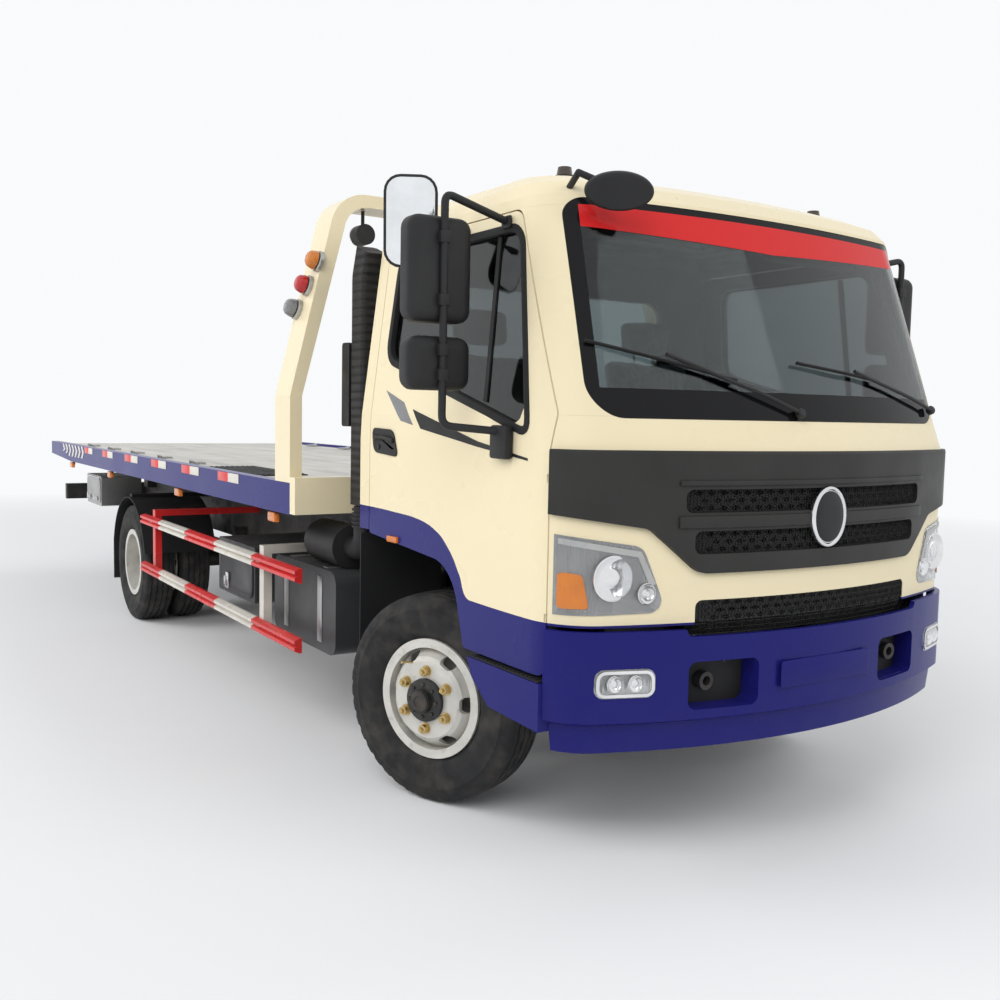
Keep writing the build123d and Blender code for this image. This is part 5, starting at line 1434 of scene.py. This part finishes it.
class TRUCK_OT_cabin(PieceOperator):
    """Adds vents, dials, the gear lever and sun visors"""
    bl_idname = "truck.cabin"
    bl_label = "Cabin"

    def make(self):
        for number, y in enumerate((-0.70, -0.12, 0.12, 0.74)):
            rim = start_block(at(0.606, y - 0.07, 1.335), at(0.640, y + 0.07, 1.395), 0.006)
            slats = [start_block(at(0.600, y - 0.062, 1.344 + 0.012 * n), at(0.612, y + 0.062, 1.349 + 0.012 * n), 0.001)
                     for n in range(4)]
            join([rim] + slats)
            finished(f"dash_vent_{number}", finish("plastic"), "cab", 30)
        start_block(at(0.610, 0.23, 1.400), at(0.82, 0.63, 1.500), 0.03, 4)
        finished("dial_hood", finish("plastic"), "cab", 60)
        dials = []
        for y in (0.34, 0.52):
            dials.append(turned_piece(at(0.6095, y, 1.448), (-1, 0, 0), 0.042, [(0, 0.004), (0.004, 0.0), (0.002, -0.003)], 36))
        join(dials)
        finished("dials", finish("steel"), "cab", 40)
        lever = tube([at(0.50, 0.05, 1.037), at(0.47, 0.05, 1.16), at(0.40, 0.05, 1.30)], 0.009, 0.05)
        knob = turned_piece(at(0.40, 0.05, 1.29), (-0.45, 0, 0.9), 0.014,
                            [(-0.008, 0.012), (-0.003, 0.016), (0.005, 0.014), (0.008, 0.006)], 24)
        boot = turned_piece(at(0.50, 0.05, 1.037), (0, 0, 1), 0.07, [(0.01, 0.02), (0.02, 0.03), (0.015, 0.03)], 28)
        join([lever, knob, boot])
        finished("gear_lever", finish("seal"), "cab", 40)
        for side, sign in SIDES:
            y0, y1 = sign * 0.16, sign * 0.66
            visor_corners = [at(0.60, y0, 2.150), at(0.60, y1, 2.150), at(0.70, y1, 2.085), at(0.70, y0, 2.085)]
            plate(visor_corners, (0.008, 0, 0.012), 0.02, 0.003)
            finished(f"sun_visor_{side}", finish("decal"), "cab", 40)


# Deck

class TRUCK_OT_deck(PieceOperator):
    """Adds reflectors, chevrons, grip pads, lashing rings, hoop lenses and the winch's roller to the deck"""
    bl_idname = "truck.deck"
    bl_label = "Deck"
    # Stations of the strips on the rails, rear end and front end.
    strips = ((-1.769, -1.450), (-2.423, -2.102), (-3.079, -2.750), (-3.766, -3.421), (-4.441, -4.120), (-5.06, -4.78))
    skin = 1.1503

    def make(self):
        for side, sign in SIDES:
            self.reflectors(side, sign)
            self.chevrons(side, sign)
            self.pads(side, sign)
            self.rings(side, sign)
            self.lamps(side, sign)
        self.tail_strip()
        self.roller()

    def flat(self, corners, sign, thick=0.0025, rounding=0.0):
        return plate([at(x, sign * self.skin, z) for x, z in corners], (0, sign * thick, 0), rounding, 0.0006)

    def reflectors(self, side, sign):
        low, high = 1.131, 1.131 + size_of().reflector
        for shade, part in (("red", 0), ("white", 1)):
            pieces = []
            for rear, front in self.strips:
                middle = (rear + front) / 2
                x0, x1 = (rear, middle) if part == 0 else (middle, front)
                pieces.append(self.flat(((x0, low), (x1, low), (x1, high), (x0, high)), sign))
            join(pieces)
            finished(f"reflectors_{shade}_{side}", finish(shade), "deck", 30)

    def chevrons(self, side, sign):
        bars = []
        for number in range(7):
            x = -5.95 + 0.125 * number
            low = 1.082 + 0.016 * max(0, 2 - number)
            arrow = ((x, low), (x + 0.05, low), (x + 0.105, 1.130), (x + 0.05, 1.176), (x, 1.176), (x + 0.055, 1.130))
            bars.append(self.flat(arrow, sign))
        join(bars)
        finished(f"chevrons_{side}", finish("white"), "deck", 30)

    def pads(self, side, sign):
        """Grip pad with raised studs beside the hoop's leg."""
        stud = turned_piece(at(-2.345, sign * 0.765, 1.165), (0, 0, 1), 0.011, [(0, 0.003), (0.003, 0.002)], 8)
        for count, step in ((27, (0.029, 0, 0)), (11, (0, sign * 0.030, 0))):
            modify("ARRAY", count=count, use_relative_offset=False, use_constant_offset=True, constant_offset_displace=step)
        sheet = start_block(at(-2.37, sign * 0.745, 1.1601), at(-1.56, sign * 1.085, 1.166), 0.0015)
        join([sheet, stud])
        finished(f"grip_pad_{side}", finish("chassis"), "deck", 30)

    def rings(self, side, sign):
        """Lashing rings on small plates along the floor's edge."""
        for number in range(5):
            x = -2.75 - 0.72 * number
            foot = start_block(at(x - 0.045, sign * 0.965, 1.1602), at(x + 0.045, sign * 1.035, 1.167), 0.002)
            staple = tube([at(x - 0.026, sign * 1.0, 1.165), at(x - 0.026, sign * 1.0, 1.182), at(x + 0.026, sign * 1.0, 1.182),
                           at(x + 0.026, sign * 1.0, 1.165)], 0.006, 0.012)
            loop = tube([at(x, sign * 1.0, 1.176), at(x + 0.04, sign * 0.985, 1.172), at(x + 0.04, sign * 0.925, 1.170),
                         at(x - 0.04, sign * 0.925, 1.170), at(x - 0.04, sign * 0.985, 1.172), at(x, sign * 1.0, 1.176)], 0.006, 0.02)
            join([foot, staple, loop])
            finished(f"lashing_ring_{side}_{number}", finish("steel"), "deck", 40)

    def lamps(self, side, sign):
        """Domed lenses on the hoop's lamps, the rims under them and the work lamp's glass."""
        lean = math.atan2(0.220, 0.893)
        out = Vector((0, sign * math.cos(lean), math.sin(lean)))
        for number, (x, z, shade) in enumerate(((-0.800, 2.140, "amber"), (-0.862, 2.040, "redlens"), (-0.925, 1.940, "clear"))):
            face = 1.150 - 0.220 * (z - 1.557) / 0.893
            foot = at(x, sign * face, z) + out * 0.0243
            turned_piece(foot, out, 0.041, [(0, 0.006), (0.003, 0.012), (0.004, 0.012), (0.009, 0.008), (0.010, 0.003)], 36)
            finished(f"hoop_lens_{side}_{number}", finish(shade), "deck", 50)
            turned_piece(at(x, sign * face, z) + out * 0.0005, out, 0.046, [(0, 0.014), (0.004, 0.004)], 36)
            finished(f"hoop_rim_{side}_{number}", finish("steel"), "deck", 40)
        y = 1.150 - 0.220 * (2.330 - 1.557) / 0.893 - 0.190
        turned_piece(at(-0.9105, sign * y, 2.290), (-1, 0, 0), 0.047, [(0, 0.006), (0.005, 0.002), (0.003, -0.006)], 36)
        finished(f"work_glass_{side}", finish("clear"), "deck", 40)

    def tail_strip(self):
        """Red edge along the deck's tail."""
        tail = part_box("deck_floor")[0][0]
        points = [(tail - 0.0003, y, z) for y, z in ((-1.09, 1.128), (1.09, 1.128), (1.09, 1.158), (-1.09, 1.158))]
        plate(points, (-0.0025, 0, 0), 0.0, 0.0006)
        finished("tail_strip", finish("red"), "deck", 30)

    def roller(self):
        """Guide roller on two cheeks behind the winch's drum."""
        barrel = tube([at(-1.272, -0.20, 1.185), at(-1.272, 0.20, 1.185)], 0.016, 0.0, 4)
        cheeks = [start_block(at(-1.295, y - 0.012, 1.1602), at(-1.250, y + 0.012, 1.215), 0.004) for y in (-0.208, 0.208)]
        join([barrel] + cheeks)
        finished("guide_roller", finish("steel"), "deck", 40)


# Chassis sides and rear

class TRUCK_OT_flanks(PieceOperator):
    """Adds markers, box doors, latches, tank straps, the filler cap and the plates to the chassis"""
    bl_idname = "truck.flanks"
    bl_label = "Flanks"

    def make(self):
        for side, sign in SIDES:
            self.markers(side, sign)
            self.cabinet(side, sign)
            self.recess(side, sign)
            self.guard_caps(side, sign)
        self.tank()
        self.tool_box()
        self.batteries()
        self.plates()

    def markers(self, side, sign):
        """Amber markers on brackets under the deck's rail."""
        for number, x in enumerate((-1.05, -2.59, -4.32, -5.70)):
            top = 1.0398 if x > -5.0 else 1.060
            start_block(at(x - 0.028, sign * 1.105, 1.010), at(x + 0.028, sign * 1.112, top), 0.002)
            finished(f"marker_bracket_{side}_{number}", finish("chassis"), "deck", 30)
            plate([at(x + dx, sign * 1.112, z) for dx, z in ((-0.045, 0.985), (0.045, 0.985), (0.045, 1.030), (-0.045, 1.030))],
                  (0, sign * 0.024, 0), 0.010, 0.006)
            finished(f"deck_marker_{side}_{number}", finish("amber"), "deck", 40)

    def cabinet(self, side, sign):
        """Pressed door, hinge and two latches on a valve cabinet."""
        points = [at(x, sign * 1.0953, z) for x, z in ((-5.225, 0.762), (-4.775, 0.762), (-4.775, 0.945), (-5.225, 0.945))]
        start_outline(points, 0.034)
        face_towards((0, sign, 0))
        stepped([(0.0, 0.006), (0.004, 0.002), (0.016, 0.0), (0.005, -0.004)])
        bpy.ops.object.mode_set(mode="OBJECT")
        finished(f"cabinet_door_{side}", finish("steel"), "chassis", 40)
        latches = []
        for x in (-5.12, -4.88):
            latches.append(start_block(at(x - 0.022, sign * 1.101, 0.770), at(x + 0.022, sign * 1.114, 0.806), 0.004))
            latches.append(tube([at(x, sign * 1.113, 0.776), at(x, sign * 1.121, 0.780), at(x, sign * 1.121, 0.824)], 0.005, 0.006))
        latches.append(tube([at(-5.225, sign * 1.099, 0.952), at(-4.775, sign * 1.099, 0.952)], 0.006))
        join(latches)
        finished(f"cabinet_latches_{side}", finish("chrome"), "chassis", 40)

    def recess(self, side, sign):
        """Blue walls round the bumper's towing recess and a dark sheet behind them, painted shade for the pocket's
        depth.
        """
        def bowed(co):
            return Vector((ahead("bumper", co.y, 0.760)[0].x + co.x, co.y, co.z))

        corners = ((0.560, 0.570), (0.300, 0.570), (0.300, 0.725), (0.560, 0.725))
        start_outline([(-0.016, sign * y, z) for y, z in corners], 0.030)
        bpy.ops.mesh.delete(type="ONLY_FACE")
        bpy.ops.mesh.select_all(action="SELECT")
        extrude((-0.060, 0, 0))
        move_points(bowed)
        bpy.ops.object.mode_set(mode="OBJECT")
        modify("SOLIDIFY", thickness=0.004, offset=0.0)
        finished(f"recess_walls_{side}", finish("blue"), "chassis", 40)
        # Near-black sheet at the back of the pocket: painted shade that also hides what lies behind the bumper.
        start_outline([(-0.078, sign * y, z) for y, z in ((0.59, 0.545), (0.27, 0.545), (0.27, 0.750), (0.59, 0.750))])
        bpy.ops.mesh.subdivide(number_cuts=5)
        move_points(bowed)
        bpy.ops.object.mode_set(mode="OBJECT")
        modify("SOLIDIFY", thickness=0.003)
        finished(f"recess_painted_shade_{side}", finish("seal"), "chassis", 40)

    def guard_caps(self, side, sign):
        """Bolt heads on the guards' posts."""
        heads = []
        for x in (-1.25, -3.20):
            for z in (0.465, 0.774):
                for dx in (-0.014, 0.014):
                    head_place = at(x + dx, sign * 1.1225, z)
                    heads.append(turned_piece(head_place, (0, sign, 0), 0.008, [(0, 0.004), (0.0015, 0.0015)], 6))
        join(heads)
        finished(f"guard_bolts_{side}", finish("steel"), "chassis", 30)

    def tank(self):
        """Two straps and a filler neck with its cap on the fuel tank."""
        straps = []
        for x in (-1.17, -0.77):
            straps.append(start_block(at(x - 0.025, -1.0135, 0.470), at(x + 0.025, -1.0103, 0.765), 0.001))
            straps.append(start_block(at(x - 0.025, -0.985, 0.8003), at(x + 0.025, -0.470, 0.8035), 0.001))
            straps.append(start_block(at(x - 0.025, -0.985, 0.4262), at(x + 0.025, -0.470, 0.4297), 0.001))
        join(straps)
        finished("tank_straps", finish("steel"), "chassis", 30)
        turned_piece(at(-1.26, -0.60, 0.8003), (0, 0, 1), 0.046,
                     [(0, 0.020), (-0.008, 0.0), (0, 0.022), (0.006, 0.006), (0.02, 0.0), (0.004, -0.003)], 36)
        finished("filler_cap", finish("plastic"), "chassis", 40)

    def tool_box(self):
        """Pressed lid and a bright latch on the tool box."""
        points = [at(x, -0.9603, z) for x, z in ((-2.325, 0.495), (-1.775, 0.495), (-1.775, 0.745), (-2.325, 0.745))]
        start_outline(points, 0.05)
        face_towards((0, -1, 0))
        stepped([(0.0, 0.007), (0.006, 0.002), (0.03, 0.0), (0.006, -0.004)])
        bpy.ops.object.mode_set(mode="OBJECT")
        finished("tool_lid", finish("box"), "chassis", 40)
        latch = start_block(at(-2.18, -0.982, 0.500), at(-2.14, -0.966, 0.590), 0.005)
        pull = tube([at(-2.16, -0.980, 0.510), at(-2.16, -0.990, 0.515), at(-2.16, -0.990, 0.570)], 0.005, 0.006)
        join([latch, pull])
        finished("tool_latch", finish("chrome"), "chassis", 40)

    def batteries(self):
        """Ribbed lid and front panel on the battery box."""
        lid = start_block(at(-1.51, 0.430, 0.7703), at(-0.89, 0.908, 0.786), 0.005)
        ribs = [start_block(at(-1.46 + 0.1 * n, 0.46, 0.785), at(-1.43 + 0.1 * n, 0.88, 0.792), 0.003) for n in range(6)]
        front = start_block(at(-1.46, 0.9003, 0.530), at(-0.94, 0.906, 0.745), 0.003)
        join([lid, front] + ribs)
        finished("battery_lid", finish("box"), "chassis", 30)

    def plates(self):
        """Blank number plates at the front and rear."""
        skin, _ = ahead("bumper", 0.0, 0.66)
        front_plate = ((-0.22, 0.615), (0.22, 0.615), (0.22, 0.705), (-0.22, 0.705))
        plate([(skin.x + 0.001, y, z) for y, z in front_plate], (0.003, 0, 0), 0.01, 0.001)
        finished("plate_holder_front", finish("blue"), "chassis", 30)
        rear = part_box("chassis_frame")[0][0]
        rear_plate = ((-0.22, 0.70), (0.22, 0.70), (0.22, 0.80), (-0.22, 0.80))
        plate([(rear - 0.001, y, z) for y, z in rear_plate], (-0.003, 0, 0), 0.01, 0.001)
        finished("plate_rear", finish("white"), "chassis", 30)


class TRUCK_PT_panel(bpy.types.Panel):
    """Lists the truck's steps in the sidebar"""
    bl_idname = "TRUCK_PT_panel"
    bl_label = "Tow Truck"
    bl_space_type = "VIEW_3D"
    bl_region_type = "UI"
    bl_category = "Tow Truck"

    def draw(self, context):
        for group in (context.scene.truck_colours, context.scene.truck_sizes):
            for name in group.__annotations__:
                self.layout.prop(group, name)
        for step in STEPS:
            self.layout.operator(step.bl_idname)


STEPS = (TRUCK_OT_stage, TRUCK_OT_paint, TRUCK_OT_tyres, TRUCK_OT_wheels, TRUCK_OT_grille, TRUCK_OT_lamps,
         TRUCK_OT_screen, TRUCK_OT_doors, TRUCK_OT_mirrors, TRUCK_OT_seats, TRUCK_OT_cabin, TRUCK_OT_deck,
         TRUCK_OT_flanks)
CLASSES = (TruckColours, TruckSizes) + STEPS + (TRUCK_PT_panel,)


def register():
    for item in CLASSES:
        bpy.utils.register_class(item)
    bpy.types.Scene.truck_colours = PointerProperty(type=TruckColours)
    bpy.types.Scene.truck_sizes = PointerProperty(type=TruckSizes)


def unregister():
    del bpy.types.Scene.truck_sizes
    del bpy.types.Scene.truck_colours
    for item in reversed(CLASSES):
        bpy.utils.unregister_class(item)


def main():
    register()
    for step in STEPS:
        group, name = step.bl_idname.split(".")
        getattr(getattr(bpy.ops, group), name)()


if __name__ == "__main__":
    main()
